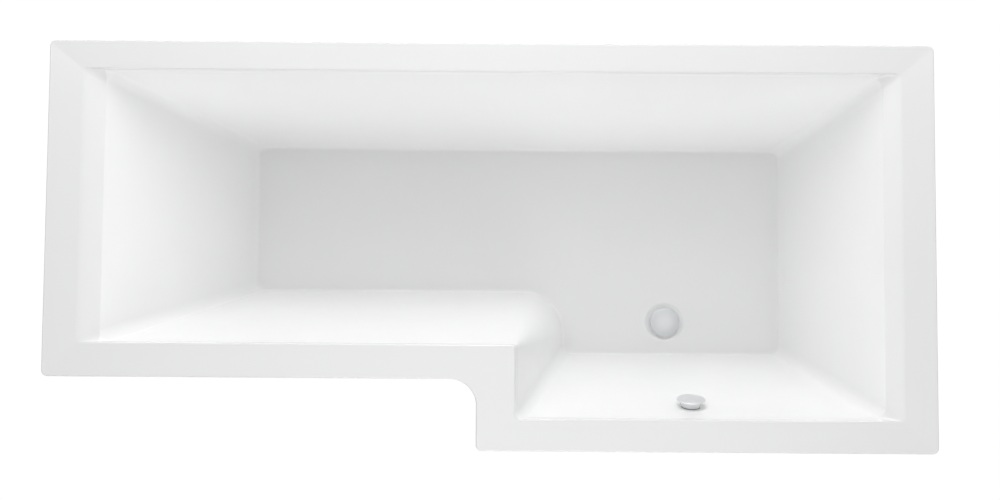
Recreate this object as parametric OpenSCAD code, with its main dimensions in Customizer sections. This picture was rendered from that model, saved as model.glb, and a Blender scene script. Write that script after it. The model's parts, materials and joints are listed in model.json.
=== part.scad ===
// L-shaped shower bath: a formed acrylic basin on a steel cradle with adjustable feet,
// and a pop-up waste that is worked by a turning knob on the overflow.
// Millimetres. The origin is on the floor, under the middle of the rim.
// +X runs to the waste end, +Y to the long wall side and +Z up.

/* [Rim] */
// Overall length of the rim
bath_l = 1700; // [1600:10:1800]
// Width over the wide shower part
bath_w = 780; // [750:10:850]
// Width over the narrow bathing part
narrow_w = 645; // [620:5:700]
// Length of the wide shower part, from the waste end
wide_l = 875; // [840:5:920]
// Height of the rim above the floor
rim_h = 550; // [530:5:580]
// Width of the deck at the head end
deck_head = 62; // [58:1:72]
// Width of the deck at the waste end
deck_tap = 61; // [58:1:72]
// Width of the deck along the wall side
deck_back = 55; // [52:1:65]
// Width of the deck in front of the shower part
deck_wide = 61; // [56:1:72]
// Width of the deck in front of the bathing part
deck_narrow = 62; // [56:1:72]
// Width of the deck along the step
deck_step = 71; // [66:1:80]
// Fall of the decks towards the basin
deck_fall = 3; // [1:0.1:4]
// Height of the skirt that hangs from the rim
skirt_h = 42; // [36:1:50]
// Radius of the roll along the outer edge of the rim
edge_roll = 6; // [5.5:0.1:7]
// Radius of the outer corners of the rim, in plan
rim_corner_r = 12; // [10:1:16]
// Radius of the inside corner of the rim at the step, in plan
notch_r = 50; // [40:1:60]

/* [Basin] */
// Height of the lowest part of the basin's floor above the ground
floor_low = 150; // [140:5:165]
// Drop of the lip between the decks and the walls
lip_drop = 22; // [18:1:26]
// Width of the soft lip at the head end
lip_head = 41; // [34:1:46]
// Width of the soft lip at the waste end
lip_tap = 32; // [26:1:38]
// Width of the steep lip along the wall side
lip_back = 3; // [2:0.5:6]
// Width of the steep lips along the front and the step
lip_front = 2; // [1.5:0.5:5]
// How far the backrest leans out from foot to lip
lean_head = 225; // [200:5:240]
// How far the waste end wall leans out
lean_tap = 118; // [100:2:130]
// How far the long wall leans out
lean_back = 93; // [84:1:100]
// How far the front walls lean out
lean_front = 111; // [100:1:118]
// Radius of the corners between two walls, in plan
wall_corner_r = 24; // [20:1:28]
// Radius of the corners at the floor, in plan
floor_corner_r = 22; // [20:1:26]
// Radius of the knee of the step at the deck
knee_top_r = 8; // [7:1:12]
// Radius of the knee of the step at the floor
knee_floor_r = 88; // [70:1:100]
// Height and width of the fillet at the foot of the walls
foot_fillet = 6; // [5:1:12]
// Fall of the floor towards the waste end
floor_fall = 6; // [3:0.5:10]

/* [Sheet] */
// Thickness of the acrylic sheet
sheet_t = 5; // [4:0.5:5]
// Thickness of the glass-fibre backing
fibre_t = 3; // [2:0.5:4]

/* [Waste] */
// Distance of the waste from the waste end of the rim
waste_from_tap = 465; // [430:5:500]
// Distance of the waste from the front of the rim
waste_from_front = 245; // [235:5:260]
// Radius of the moulded recess round the waste
recess_r = 43; // [40:1:46]
// Depth of the recess
recess_d = 3; // [2:0.5:4]
// Radius of the hole through the sheet
waste_hole_r = 26; // [25.5:0.5:28]
// Radius of the domed plug cap
cap_r = 32.5; // [32:0.5:35]
// Height of the dome of the cap
cap_dome = 5; // [3:0.5:7]
// Outer radius of the tail, a 1 1/2 inch pipe thread
tail_r = 23.9; // [23.5:0.1:24.3]
// Length of the tail
tail_l = 32; // [24:1:36]
// Rise of the plug when it opens
plug_rise = 10; // [8:0.5:11]

/* [Overflow] */
// Distance of the overflow knob from the waste, along the bath
overflow_shift = 9; // [0:1:20]
// Depth of the overflow below the rim
overflow_drop = 84; // [80:1:100]
// Radius of the knob
knob_r = 28; // [26:0.5:31]
// Thickness of the knob at its edge
knob_t = 3; // [2.5:0.5:4]
// Gap between knob and collar, where the water enters
knob_gap = 3; // [2:0.5:4]
// Outer radius of the collar
collar_r = 18.5; // [18:0.5:20]
// How far the collar stands out of the wall
collar_h = 9; // [8:1:14]
// Turn of the knob from closed to open, in degrees
knob_turn = 90; // [70:5:100]

/* [Hose] */
// Radius over the ribs of the overflow hose
hose_r = 17; // [16:0.5:18]
// Radius of the bore of the hose
hose_bore_r = 13; // [12:0.5:13.5]
// Distance from rib to rib
rib_pitch = 6; // [5:0.5:8]
// Radius of the bend below the floor
hose_bend_r = 60; // [50:1:80]

/* [Base] */
// Thickness of the baseboard
board_t = 15; // [12:1:18]
// Width of a rim batten
batten_w = 36; // [30:1:38]
// Height of a rim batten
batten_h = 20; // [16:1:24]
// Distance of the head cradle from the head end of the rim
cradle_head_in = 470; // [440:5:520]
// Distance of the other cradle from the waste end of the rim
cradle_tap_in = 290; // [280:5:320]
// Width of a cradle bar
bar_w = 40; // [36:1:46]
// Height of a cradle bar
bar_h = 25; // [20:1:30]
// Thickness of the steel of bars, straps and brackets
steel_t = 2.5; // [2:0.25:3]
// Width of a side strap
strap_w = 30; // [26:1:36]

/* [Feet] */
// Radius of the threaded studs
stud_r = 6; // [5:0.5:6.5]
// Radius of the pads
pad_r = 25; // [22:1:30]
// How far a foot can be screwed out or in from here
foot_travel = 15; // [10:1:16]
// Distance of the feet from the outer face of the rim
foot_in = 78; // [74:1:90]

/* [Wall brackets] */
// Width of a wall bracket
bracket_w = 50; // [44:1:60]
// Distance between the two wall holes
bracket_holes = 30; // [26:1:34]
// Radius of the wall holes
bracket_hole_r = 3; // [2.5:0.25:3.5]

/* [Hidden] */
$fn = 48;

// Gap between pieces that rest on each other
seat = 0.3;
// Radial clearance of what turns or slides in a bore
run = 0.05;
// Radial clearance of screws, spigots and rings
fit = 0.2;
// Overrun of a cut past the face it opens
over = 1;
// Chamfer of handled edges
edge = 1;
// Free space between neighbours that don't touch
clear = 2;

// The six sides in order: head, tap, back, wide front, narrow front, step
outer = [-bath_l / 2, bath_l / 2, bath_w / 2, -bath_w / 2, bath_w / 2 - narrow_w, bath_l / 2 - wide_l];
side_turn = [0, 180, -90, 90, 90, 0];
deck = [deck_head, deck_tap, deck_back, deck_wide, deck_narrow, deck_step];
lip = [lip_head, lip_tap, lip_back, lip_front, lip_front, lip_front];
lean = [lean_head, lean_tap, lean_back, lean_front, lean_front, lean_front];
wall_foot = deck + lip + lean;
wall_h = rim_h - lip_drop - floor_low;
head_foot_x = outer[0] + wall_foot[0];
tap_foot_x = outer[1] - wall_foot[1];
fall_angle = atan(floor_fall / (tap_foot_x - head_foot_x));
skin_t = sheet_t + fibre_t;

// Height of the floor above its lowest edge, at a place along the bath
function rise(x) = floor_fall * (tap_foot_x - x) / (tap_foot_x - head_foot_x);
function floor_at(x) = floor_low + rise(x);

// Ring outlines: six corner arcs with the same count of points each
arc_steps = 8;
function arc_points(cx, cy, r, a0, a1) =
    [for (i = [0 : arc_steps]) let (a = a0 + (a1 - a0) * i / arc_steps) [cx + r * cos(a), cy + r * sin(a)]];
function outline(inset, r, notch) =
    let (head = outer[0] + inset[0])
    let (tap = outer[1] - inset[1])
    let (back = outer[2] - inset[2])
    let (wide = outer[3] + inset[3])
    let (narrow = outer[4] + inset[4])
    let (step = outer[5] + inset[5])
    concat(
        arc_points(head + r, back - r, r, 90, 180),
        arc_points(head + r, narrow + r, r, 180, 270),
        arc_points(step - notch, narrow - notch, notch, 90, 0),
        arc_points(step + r, wide + r, r, 180, 270),
        arc_points(tap - r, wide + r, r, 270, 360),
        arc_points(tap - r, back - r, r, 0, 90));

// A station of the moulding: inset from the rim on each side, height, corner radius,
// knee radius, how its thickness points outwards and down, and how much it follows the floor's fall
function station(inset, z, r, knee, out_share, down_share, fall_share) =
    [inset, z, r, knee, out_share, down_share, fall_share];
function even(v) = [for (side = outer) v];
roll_steps = 3;
lip_shares = [1 / 3, 2 / 3];
lip_top_r = wall_corner_r / 4;
// The thickness shares turn from the deck, through the walls, to the floor
wall_share = 0.8;
foot_shares = [1 / 3, 2 / 3];
function mix(a, b, share) = a + (b - a) * share;
function curve(a, b, c, s) = a * (1 - s) * (1 - s) + b * 2 * s * (1 - s) + c * s * s;
wall_end_inset = wall_foot - lean * (foot_fillet / wall_h);
floor_edge_inset = wall_foot + even(foot_fillet);

rim_stations = concat(
    [station(even(0), rim_h - skirt_h, rim_corner_r, notch_r, -1, 0, 0)],
    [for (i = [0 : roll_steps]) let (a = 90 * i / roll_steps, in = edge_roll * (1 - cos(a)))
        station(even(in), rim_h - edge_roll * (1 - sin(a)),
            rim_corner_r - in, notch_r + in, -cos(a), sin(a), 0)]);
basin_stations = concat(
    [station(deck, rim_h - deck_fall, lip_top_r, knee_top_r, wall_share, 1, 0)],
    [for (s = lip_shares)
        station(deck + lip * s, mix(rim_h - deck_fall, rim_h - lip_drop, s * s),
            mix(lip_top_r, wall_corner_r, s), knee_top_r, wall_share, mix(1, wall_share, s), 0)],
    [station(deck + lip, rim_h - lip_drop, wall_corner_r, knee_top_r, wall_share, wall_share, 0)],
    [station(wall_end_inset, floor_low + foot_fillet, floor_corner_r, knee_floor_r,
        wall_share, wall_share, 1)],
    [for (s = foot_shares)
        station(curve(wall_end_inset, wall_foot, floor_edge_inset, s),
            floor_low + foot_fillet * (1 - s) * (1 - s),
            floor_corner_r - s * foot_fillet / 2, knee_floor_r + s * foot_fillet,
            mix(wall_share, 0, s), mix(wall_share, 1, s), 1)],
    [station(floor_edge_inset, floor_low,
        floor_corner_r - foot_fillet / 2, knee_floor_r + foot_fillet, 0, 1, 1)]);

// Points of a station, a depth below the show surface
function ring(s, depth) =
    let (out = s[4] * depth)
    [for (p = outline(s[0] - even(out), s[2] + out, s[3] - out))
        [p[0], p[1], s[1] - s[5] * depth + s[6] * rise(p[0])]];

// Closed skin through stations, between two depths below the show surface
module skin(stations, near, far) {
    count = len(ring(stations[0], 0));
    last = len(stations) - 1;
    points = concat(
        [for (s = stations) each ring(s, near)],
        [for (s = stations) each ring(s, far)]);
    shift = len(stations) * count;
    show_faces = [for (k = [0 : last - 1], i = [0 : count - 1])
        let (a = k * count + i, b = k * count + (i + 1) % count, c = a + count, d = b + count)
        each [[a, c, d], [a, d, b]]];
    hidden_faces = [for (face = show_faces) [shift + face[0], shift + face[2], shift + face[1]]];
    edge_faces = [for (i = [0 : count - 1])
        let (j = (i + 1) % count)
        each [[i, j, shift + j], [i, shift + j, shift + i]]];
    floor_faces = [
        [for (i = [count - 1 : -1 : 0]) last * count + i],
        [for (i = [0 : count - 1]) shift + last * count + i]];
    polyhedron(points, concat(show_faces, hidden_faces, edge_faces, floor_faces), 10);
}

// Puts a child at a side of the rim: its +X points into the bath, its Y runs along the side
module at_side(side, along) {
    place = (side == 0 || side == 1 || side == 5) ? [outer[side], along, 0] : [along, outer[side], 0];
    translate(place) rotate([0, 0, side_turn[side]]) children();
}

// Frame that lies in the sloping plane of the floor, measured from the waste end foot
module on_fall() {
    translate([tap_foot_x, 0, floor_low]) rotate([0, fall_angle, 0])
        translate([-tap_foot_x, 0, 0]) children();
}

// Folded strips: a centre line of corners, bent with arcs
bend_steps = 4;
function unit(v) = v / norm(v);
function left_of(v) = [-v[1], v[0]];
function turned(v, a) = [v[0] * cos(a) - v[1] * sin(a), v[0] * sin(a) + v[1] * cos(a)];
function corner_stations(p, q, s, r) =
    let (u = unit(q - p), v = unit(s - q))
    let (turn = atan2(u[0] * v[1] - u[1] * v[0], u[0] * v[0] + u[1] * v[1]))
    let (sense = sign(turn), start = q - u * r * tan(abs(turn) / 2))
    let (centre = start + left_of(u) * r * sense)
    [for (i = [0 : bend_steps]) let (w = turned(u, turn * i / bend_steps))
        [centre - left_of(w) * r * sense, left_of(w)]];
function strip_stations(path, r) =
    let (last = len(path) - 1)
    concat(
        [[path[0], left_of(unit(path[1] - path[0]))]],
        [for (i = [1 : last - 1]) each corner_stations(path[i - 1], path[i], path[i + 1], r)],
        [[path[last], left_of(unit(path[last] - path[last - 1]))]]);
module strip(path, width) {
    stations = strip_stations(path, steel_t);
    rotate([90, 0, 0])
        linear_extrude(width, center = true)
            polygon(concat(
                [for (s = stations) s[0] + s[1] * steel_t / 2],
                [for (i = [len(stations) - 1 : -1 : 0]) stations[i][0] - stations[i][1] * steel_t / 2]));
}

// Plain ring and hexagon nut
module tube(r_out, r_in, h) {
    difference() {
        cylinder(r = r_out, h = h);
        translate([0, 0, -over]) cylinder(r = r_in, h = h + 2 * over);
    }
}
module nut(across, bore_r, h) {
    difference() {
        cylinder(r = across / sqrt(3), h = h, $fn = 6);
        translate([0, 0, -over]) cylinder(r = bore_r, h = h + 2 * over);
    }
}

// Basin

waste_x = outer[1] - waste_from_tap;
waste_y = outer[3] + waste_from_front;
waste_z = floor_at(waste_x) - recess_d;
// The recess narrows to this radius at its foot
recess_foot_r = cap_r + 2 * fit + recess_d;
// Flat land under the sheet that the waste clamps against
land_r = recess_r + sheet_t;
front_slope = atan(lean_front / wall_h);
overflow_x = waste_x + overflow_shift;
overflow_z = rim_h - overflow_drop;
overflow_y = outer[3] + deck_wide + lip_front + (rim_h - lip_drop - overflow_z) * lean_front / wall_h;
// Radius of the collar's spigot and of the hole that it passes
spigot_r = 15;
overflow_hole_r = spigot_r + 3 * fit;

// Frame on the front wall: +Z points into the basin, +Y down the wall
module on_overflow() {
    translate([overflow_x, overflow_y, overflow_z]) rotate([front_slope - 90, 0, 0]) children();
}
module at_waste() {
    translate([waste_x, waste_y, waste_z]) children();
}
module overflow_hole() {
    on_overflow() translate([0, 0, -3 * skin_t]) cylinder(r = overflow_hole_r, h = 5 * skin_t);
}

module acrylic_shell() {
    color("white") difference() {
        union() {
            skin(concat(rim_stations, basin_stations), 0, sheet_t);
            at_waste() translate([0, 0, -sheet_t]) cylinder(r = land_r, h = sheet_t);
        }
        at_waste() rotate_extrude()
            polygon([[0, 0], [recess_foot_r, 0], [recess_r, recess_d], [recess_r + over, recess_d + over],
                [0, recess_d + over]]);
        at_waste() translate([0, 0, -sheet_t - over])
            cylinder(r = waste_hole_r, h = sheet_t + recess_d + 2 * over);
        overflow_hole();
    }
}

module glassfibre_backing() {
    color("tan") difference() {
        skin(concat([rim_stations[len(rim_stations) - 1]], basin_stations), sheet_t, skin_t);
        at_waste() translate([0, 0, -3 * skin_t]) cylinder(r = land_r + fit, h = 5 * skin_t);
        overflow_hole();
    }
}

// Baseboard under the floor

board_margin = 14;
board_opening_r = 62;
board_slot_w = 96;
// Places of the board screws, as shares of the board's width
screw_shares = [0.15, 0.38, 0.62, 0.85];
screw_r = 2;
screw_head_r = 4;
screw_head_h = 2;
bars_x = [outer[0] + cradle_head_in, outer[1] - cradle_tap_in];
bar_fronts = [outer[4], outer[3]];
// Underside of the board and top of the steel below it
function board_under(x) = floor_at(x) - skin_t - board_t - seat;
function steel_top(x) = board_under(x + bar_w / 2) - seat;
board_backs = outer[2] - wall_foot[2] - board_margin;
board_fronts = [outer[4] + wall_foot[4] + board_margin, outer[3] + wall_foot[3] + board_margin];
// Place of the centre foot, as a share of the way from the head cradle to the other
centre_share = 0.6;
centre_x = mix(bars_x[0], bars_x[1], centre_share);
centre_y = (board_backs + board_fronts[0]) / 2;
bracket_side = 90;
bracket_screw_in = 12;
boss_r = 11;
boss_h = 24;

// Puts a child at each screw that goes up into the board, at the top of the steel
module board_screw_places() {
    for (k = [0, 1], s = screw_shares)
        translate([bars_x[k], mix(board_fronts[k], board_backs, s), steel_top(bars_x[k])]) children();
    for (i = [-1, 1], j = [-1, 1])
        translate([centre_x + i * (bracket_side / 2 - bracket_screw_in),
            centre_y + j * (bracket_side / 2 - bracket_screw_in), steel_top(centre_x)]) children();
}
board_screw_l = 12;

module baseboard() {
    color("burlywood") difference() {
        on_fall() translate([0, 0, -skin_t - seat - board_t]) linear_extrude(board_t)
            polygon(outline(wall_foot + even(board_margin), floor_corner_r, knee_floor_r + board_margin));
        translate([waste_x, waste_y, waste_z - 3 * board_t]) cylinder(r = board_opening_r, h = 4 * board_t);
        translate([waste_x - board_slot_w / 2, outer[3], waste_z - 3 * board_t])
            cube([board_slot_w, waste_y - outer[3], 4 * board_t]);
        board_screw_places() cylinder(r = screw_r + fit, h = board_screw_l + over);
        translate([centre_x, centre_y, steel_top(centre_x) - over])
            cylinder(r = stud_r + clear, h = foot_travel);
    }
}

// Battens under the decks

// The battens' square ends clear the rounded corners inside the skirt
batten_in = sheet_t + seat + (rim_corner_r - sheet_t) * (1 - cos(45));
batten_top = rim_h - deck_fall - skin_t - seat;
batten_under = batten_top - batten_h;
// A row of wood screws enters a batten at these places
strap_leg_in = 15;
strap_tab = batten_in + batten_w - strap_leg_in;
strap_sides = [[2, 0], [4, 0], [2, 1], [3, 1]];
strap_screws = [-strap_w / 4, strap_w / 4];
// Places of screws, bolts and wall holes, as a share of the tab that they pass
hole_share = 0.6;
rim_screw_in = strap_leg_in + strap_tab * hole_share;
head_bracket_y = (outer[2] + outer[4]) / 2;
tap_bracket_y = (outer[2] + outer[3]) / 2;
// Places of the two long-side brackets, as shares of the bath length
back_bracket_shares = [0.2, 0.66];
bracket_places = [[0, head_bracket_y], [2, mix(outer[0], outer[1], back_bracket_shares[0])],
    [2, mix(outer[0], outer[1], back_bracket_shares[1])], [1, tap_bracket_y]];

module rim_screw_places() {
    for (s = strap_sides, y = strap_screws)
        at_side(s[0], bars_x[s[1]]) translate([rim_screw_in, y, batten_under - seat - steel_t]) children();
    for (b = bracket_places, y = [-bracket_holes / 2, bracket_holes / 2])
        at_side(b[0], b[1]) translate([rim_screw_in, y, batten_under - seat - steel_t]) children();
}
rim_screw_l = 16;

module batten(low, high) {
    color("peru") difference() {
        translate([low[0], low[1], batten_under]) cube([high[0] - low[0], high[1] - low[1], batten_h]);
        rim_screw_places() cylinder(r = screw_r + fit, h = rim_screw_l + over);
    }
}
inner_x = [outer[0] + batten_in, outer[1] - batten_in];
inner_y = [outer[3] + batten_in, outer[2] - batten_in];
narrow_y = outer[4] + batten_in;
module back_batten()
    batten([inner_x[0], inner_y[1] - batten_w], [inner_x[1], inner_y[1]]);
module head_batten()
    batten([inner_x[0], narrow_y + batten_w + seat], [inner_x[0] + batten_w, inner_y[1] - batten_w - seat]);
module tap_batten()
    batten([inner_x[1] - batten_w, inner_y[0] + batten_w + seat], [inner_x[1], inner_y[1] - batten_w - seat]);
module narrow_front_batten()
    batten([inner_x[0], narrow_y], [outer[5] - notch_r, narrow_y + batten_w]);
module wide_front_batten()
    batten([outer[5] + batten_in, inner_y[0]], [inner_x[1], inner_y[0] + batten_w]);

// Cradles: a channel bar under the board and a folded strap up to each batten

strap_foot = 45;
strap_bolt_r = 4;
strap_bolt_in = strap_leg_in + strap_foot * hole_share;
bolt_head_h = 5;
bolt_nut_h = 6;
bolt_across = 13;
foot_hole_r = stud_r + 2 * fit;

module cradle_bar(k) {
    x = bars_x[k];
    front = bar_fronts[k] + strap_leg_in;
    back = outer[2] - strap_leg_in;
    half = (bar_w - steel_t) / 2;
    color("gainsboro") difference() {
        translate([x, (front + back) / 2, steel_top(x) - bar_h])
            strip([[-half, 0], [-half, bar_h - steel_t / 2], [half, bar_h - steel_t / 2], [half, 0]],
                back - front);
        board_screw_places() translate([0, 0, -steel_t - over])
            cylinder(r = screw_r + fit, h = steel_t + 2 * over);
        for (s = strap_sides)
            at_side(s[0], bars_x[s[1]]) {
                translate([strap_bolt_in, 0, steel_top(x) - steel_t - over])
                    cylinder(r = strap_bolt_r + fit, h = steel_t + 2 * over);
                translate([foot_in, 0, steel_top(x) - steel_t - over])
                    cylinder(r = foot_hole_r, h = steel_t + 2 * over);
            }
    }
}

module strap(k) {
    side = strap_sides[k][0];
    x = bars_x[strap_sides[k][1]];
    low = steel_top(x) + seat + steel_t / 2;
    high = batten_under - seat - steel_t / 2;
    leg = strap_leg_in + steel_t / 2;
    color("gainsboro") difference() {
        at_side(side, x) strip([[strap_leg_in + strap_foot, low], [leg, low], [leg, high],
            [strap_leg_in + strap_tab, high]], strap_w);
        at_side(side, x) translate([strap_bolt_in, 0, low - steel_t])
            cylinder(r = strap_bolt_r + fit, h = 2 * steel_t);
        rim_screw_places() translate([0, 0, -over]) cylinder(r = screw_r + fit, h = steel_t + 2 * over);
    }
}

module strap_bolts() {
    color("silver") for (s = strap_sides)
        at_side(s[0], bars_x[s[1]]) translate([strap_bolt_in, 0, steel_top(bars_x[s[1]])]) {
            translate([0, 0, 2 * seat + steel_t])
                cylinder(r = bolt_across / sqrt(3), h = bolt_head_h, $fn = 6);
            translate([0, 0, -steel_t - seat - bolt_nut_h - over])
                cylinder(r = strap_bolt_r, h = 2 * steel_t + 3 * seat + bolt_nut_h + over);
            translate([0, 0, -steel_t - seat - bolt_nut_h]) nut(bolt_across, strap_bolt_r + run, bolt_nut_h);
        }
}

// Wood screw that points up, with its head below z = 0
module wood_screw(plate_t, length) {
    tip = 2 * screw_r;
    translate([0, 0, -seat - screw_head_h]) cylinder(r = screw_head_r, h = screw_head_h);
    translate([0, 0, -seat - screw_head_h])
        cylinder(r = screw_r, h = seat + screw_head_h + plate_t + length - tip);
    translate([0, 0, plate_t + length - tip]) cylinder(r1 = screw_r, r2 = screw_r / 4, h = tip);
}
module board_screws() {
    color("silver") board_screw_places()
        translate([0, 0, -steel_t]) wood_screw(steel_t, board_screw_l - over);
}
module rim_screws() {
    color("silver") rim_screw_places() wood_screw(steel_t, rim_screw_l - steel_t - over);
}

// Adjustable feet

places = [[bars_x[0], outer[2] - foot_in], [bars_x[0], outer[4] + foot_in],
    [bars_x[1], outer[2] - foot_in], [bars_x[1], outer[3] + foot_in], [centre_x, centre_y]];
pad_rim_h = 6;
pad_h = 30;
pad_neck_r = 12;
pad_web = 8;
stud_across = 17;
stud_hex_h = 8;
nut_across = 19;
nut_h = 8;
// Length of stud above the steel that it hangs from
stud_above = nut_h + foot_travel;

function foot_steel(k) = steel_top(places[k][0]);
module foot_stud(k) {
    top = k < 4 ? foot_steel(k) + stud_above : foot_steel(k) - steel_t;
    color("silver") translate([places[k][0], places[k][1], 0]) {
        translate([0, 0, pad_web]) cylinder(r = stud_r, h = top - pad_web);
        translate([0, 0, pad_h + seat]) cylinder(r = stud_across / sqrt(3), h = stud_hex_h, $fn = 6);
    }
}
module foot_pad(k) {
    color("dimgray") translate([places[k][0], places[k][1], 0])
        rotate_extrude() polygon([[0, 0], [pad_r - edge, 0], [pad_r, edge], [pad_r, pad_rim_h],
            [pad_neck_r, pad_rim_h + pad_web], [pad_neck_r, pad_h], [stud_r + fit, pad_h],
            [stud_r + fit, pad_web - fit], [0, pad_web - fit]]);
}
module foot_lock_nuts() {
    color("silver") for (k = [0 : 3]) translate([places[k][0], places[k][1], foot_steel(k)]) {
        translate([0, 0, seat]) nut(nut_across, stud_r + run, nut_h);
        translate([0, 0, -steel_t - seat - nut_h]) nut(nut_across, stud_r + run, nut_h);
    }
    color("silver") translate([centre_x, centre_y, steel_top(centre_x) - steel_t - boss_h - seat - nut_h])
        nut(nut_across, stud_r + run, nut_h);
}
module centre_foot_bracket() {
    color("gainsboro") difference() {
        translate([centre_x, centre_y, steel_top(centre_x)]) difference() {
            union() {
                translate([-bracket_side / 2, -bracket_side / 2, -steel_t])
                    cube([bracket_side, bracket_side, steel_t]);
                translate([0, 0, -steel_t - boss_h]) cylinder(r = boss_r, h = boss_h + steel_t / 2);
            }
            translate([0, 0, -steel_t - boss_h - over])
                cylinder(r = stud_r + run, h = boss_h + steel_t + 2 * over);
        }
        board_screw_places() translate([0, 0, -steel_t - over])
            cylinder(r = screw_r + fit, h = steel_t + 2 * over);
    }
}

// Wall brackets: a tab under the batten, a joggle under the skirt and a plate on the wall

bracket_plate_h = 34;
bracket_gap = 5;
bracket_leg_in = sheet_t + clear + steel_t / 2;
bracket_hole_z = rim_h - skirt_h - bracket_gap - bracket_plate_h * hole_share;

module wall_bracket(k) {
    high = batten_under - seat - steel_t / 2;
    mid = rim_h - skirt_h - bracket_gap;
    color("gainsboro") difference() {
        at_side(bracket_places[k][0], bracket_places[k][1]) difference() {
            strip([[batten_in + batten_w, high], [bracket_leg_in, high], [bracket_leg_in, mid],
                [steel_t / 2, mid], [steel_t / 2, mid - bracket_plate_h]], bracket_w);
            for (y = [-bracket_holes / 2, bracket_holes / 2])
                translate([-over, y, bracket_hole_z]) rotate([0, 90, 0])
                    cylinder(r = bracket_hole_r, h = steel_t + 2 * over);
        }
        rim_screw_places() translate([0, 0, -over]) cylinder(r = screw_r + fit, h = steel_t + 2 * over);
    }
}

// Waste, from the recess down

top_seal_t = 1.5;
flange_t = 2.5;
flange_r = cap_r - edge;
flange_tube_r = waste_hole_r - clear;
flange_wall = 3.5;
flange_bore_r = flange_tube_r - flange_wall;
flange_tube_l = 28;
back_seal_t = 3;
body_margin = 3;
body_flange_r = flange_r + body_margin;
body_flange_t = 5;
body_wall = 3.5;
body_r = flange_tube_r + run + body_wall;
chamber_r = flange_bore_r;
stem_r = 3;
guide_r = 6;
guide_h = 12;
guide_top = -8;
spider_w = 3;
lever_l = 22;
lever_turn = 2 * asin(plug_rise / 2 / lever_l);
lever_up = 15;
lever_t = 6;
lever_arm_w = 4;
lever_play = 1;
tip_r = 3;
pivot_z = -48;
pin_r = 2;
// Room round the lever in its housing: beside, beyond, under and over it
pocket_w = lever_t + 2 * lever_play;
pocket_room = [16, 8, 5];
pocket_far = lever_l + pocket_room[0];
pocket_low = pivot_z - pocket_room[1];
pocket_high = pivot_z + lever_up + pocket_room[2];
inlet_z = -45;
inlet_l = 47;
inlet_r = hose_r;
// The tail starts clear of the housing and the inlet, so that a trap's nut reaches the whole thread
chamber_foot = min(pocket_low - body_wall, inlet_z - inlet_r) - clear;
stem_top = top_seal_t + flange_t + seat;
stem_foot = pivot_z - lever_l * sin(lever_turn / 2) + tip_r + seat;
plug_seal_t = 2;
plug_seal_lap = 2;

module waste_flange() {
    color("silver") at_waste() difference() {
        union() {
            translate([0, 0, top_seal_t]) cylinder(r = flange_r, h = flange_t);
            translate([0, 0, -flange_tube_l])
                cylinder(r = flange_tube_r, h = flange_tube_l + top_seal_t + flange_t);
        }
        difference() {
            translate([0, 0, -flange_tube_l - over])
                cylinder(r = flange_bore_r, h = flange_tube_l + top_seal_t + flange_t + 2 * over);
            translate([0, 0, guide_top - guide_h]) cylinder(r = guide_r, h = guide_h);
            for (a = [0, 120, 240]) rotate([0, 0, a])
                translate([0, -spider_w / 2, guide_top - guide_h])
                    cube([flange_bore_r + over, spider_w, guide_h / 2]);
        }
        translate([0, 0, guide_top - guide_h - over]) cylinder(r = stem_r + run, h = guide_h + 2 * over);
    }
}
module waste_top_seal() {
    color("dimgray") at_waste() tube(flange_r - edge, waste_hole_r, top_seal_t - seat);
}
module waste_back_seal() {
    color("dimgray") at_waste() translate([0, 0, -sheet_t - seat - back_seal_t])
        tube(body_flange_r, waste_hole_r, back_seal_t);
}
body_top = -sheet_t - 2 * seat - back_seal_t;
module waste_body() {
    color("whitesmoke") at_waste() difference() {
        union() {
            translate([0, 0, body_top - body_flange_t]) cylinder(r = body_flange_r, h = body_flange_t);
            translate([0, 0, chamber_foot]) cylinder(r = body_r, h = body_top - chamber_foot);
            translate([0, 0, chamber_foot - tail_l]) cylinder(r = tail_r, h = tail_l + over);
            translate([0, 0, inlet_z]) rotate([90, 0, 0]) cylinder(r = inlet_r, h = inlet_l);
            translate([0, -pocket_w / 2 - body_wall, pocket_low - body_wall])
                cube([pocket_far, pocket_w + 2 * body_wall, pocket_high - pocket_low + 2 * body_wall]);
        }
        translate([0, 0, -flange_tube_l - seat]) cylinder(r = flange_tube_r + run, h = flange_tube_l);
        translate([0, 0, chamber_foot - tail_l - over]) cylinder(r = chamber_r, h = tail_l - chamber_foot);
        translate([0, 0, inlet_z]) rotate([90, 0, 0]) cylinder(r = hose_bore_r, h = inlet_l + over);
        translate([0, -pocket_w / 2, pocket_low])
            cube([pocket_far + over, pocket_w, pocket_high - pocket_low]);
        translate([lever_l, 0, pivot_z]) rotate([90, 0, 0])
            cylinder(r = pin_r + run, h = pocket_w + 2 * body_wall + 2 * over, center = true);
    }
}

// Plug: cap, seal and stem rise together
module plug_cap() {
    steps = 10;
    low = stem_top + plug_seal_t;
    color("silver") at_waste() rotate_extrude() polygon(concat(
        [[0, low], [cap_r - edge, low], [cap_r, low + edge]],
        [for (i = [1 : steps]) let (a = 90 * i / steps) [cap_r * cos(a), low + edge + cap_dome * sin(a)]]));
}
module plug_seal() {
    color("dimgray") at_waste() translate([0, 0, stem_top])
        tube(flange_bore_r + plug_seal_lap, flange_bore_r - 2 * plug_seal_lap, plug_seal_t - fit);
}
module plug_stem() {
    color("silver") at_waste() {
        translate([0, 0, stem_foot]) cylinder(r = stem_r, h = stem_top + plug_seal_t - fit - stem_foot);
        translate([0, 0, stem_top]) cylinder(r = 2 * stem_r, h = plug_seal_t - fit);
    }
}

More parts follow.
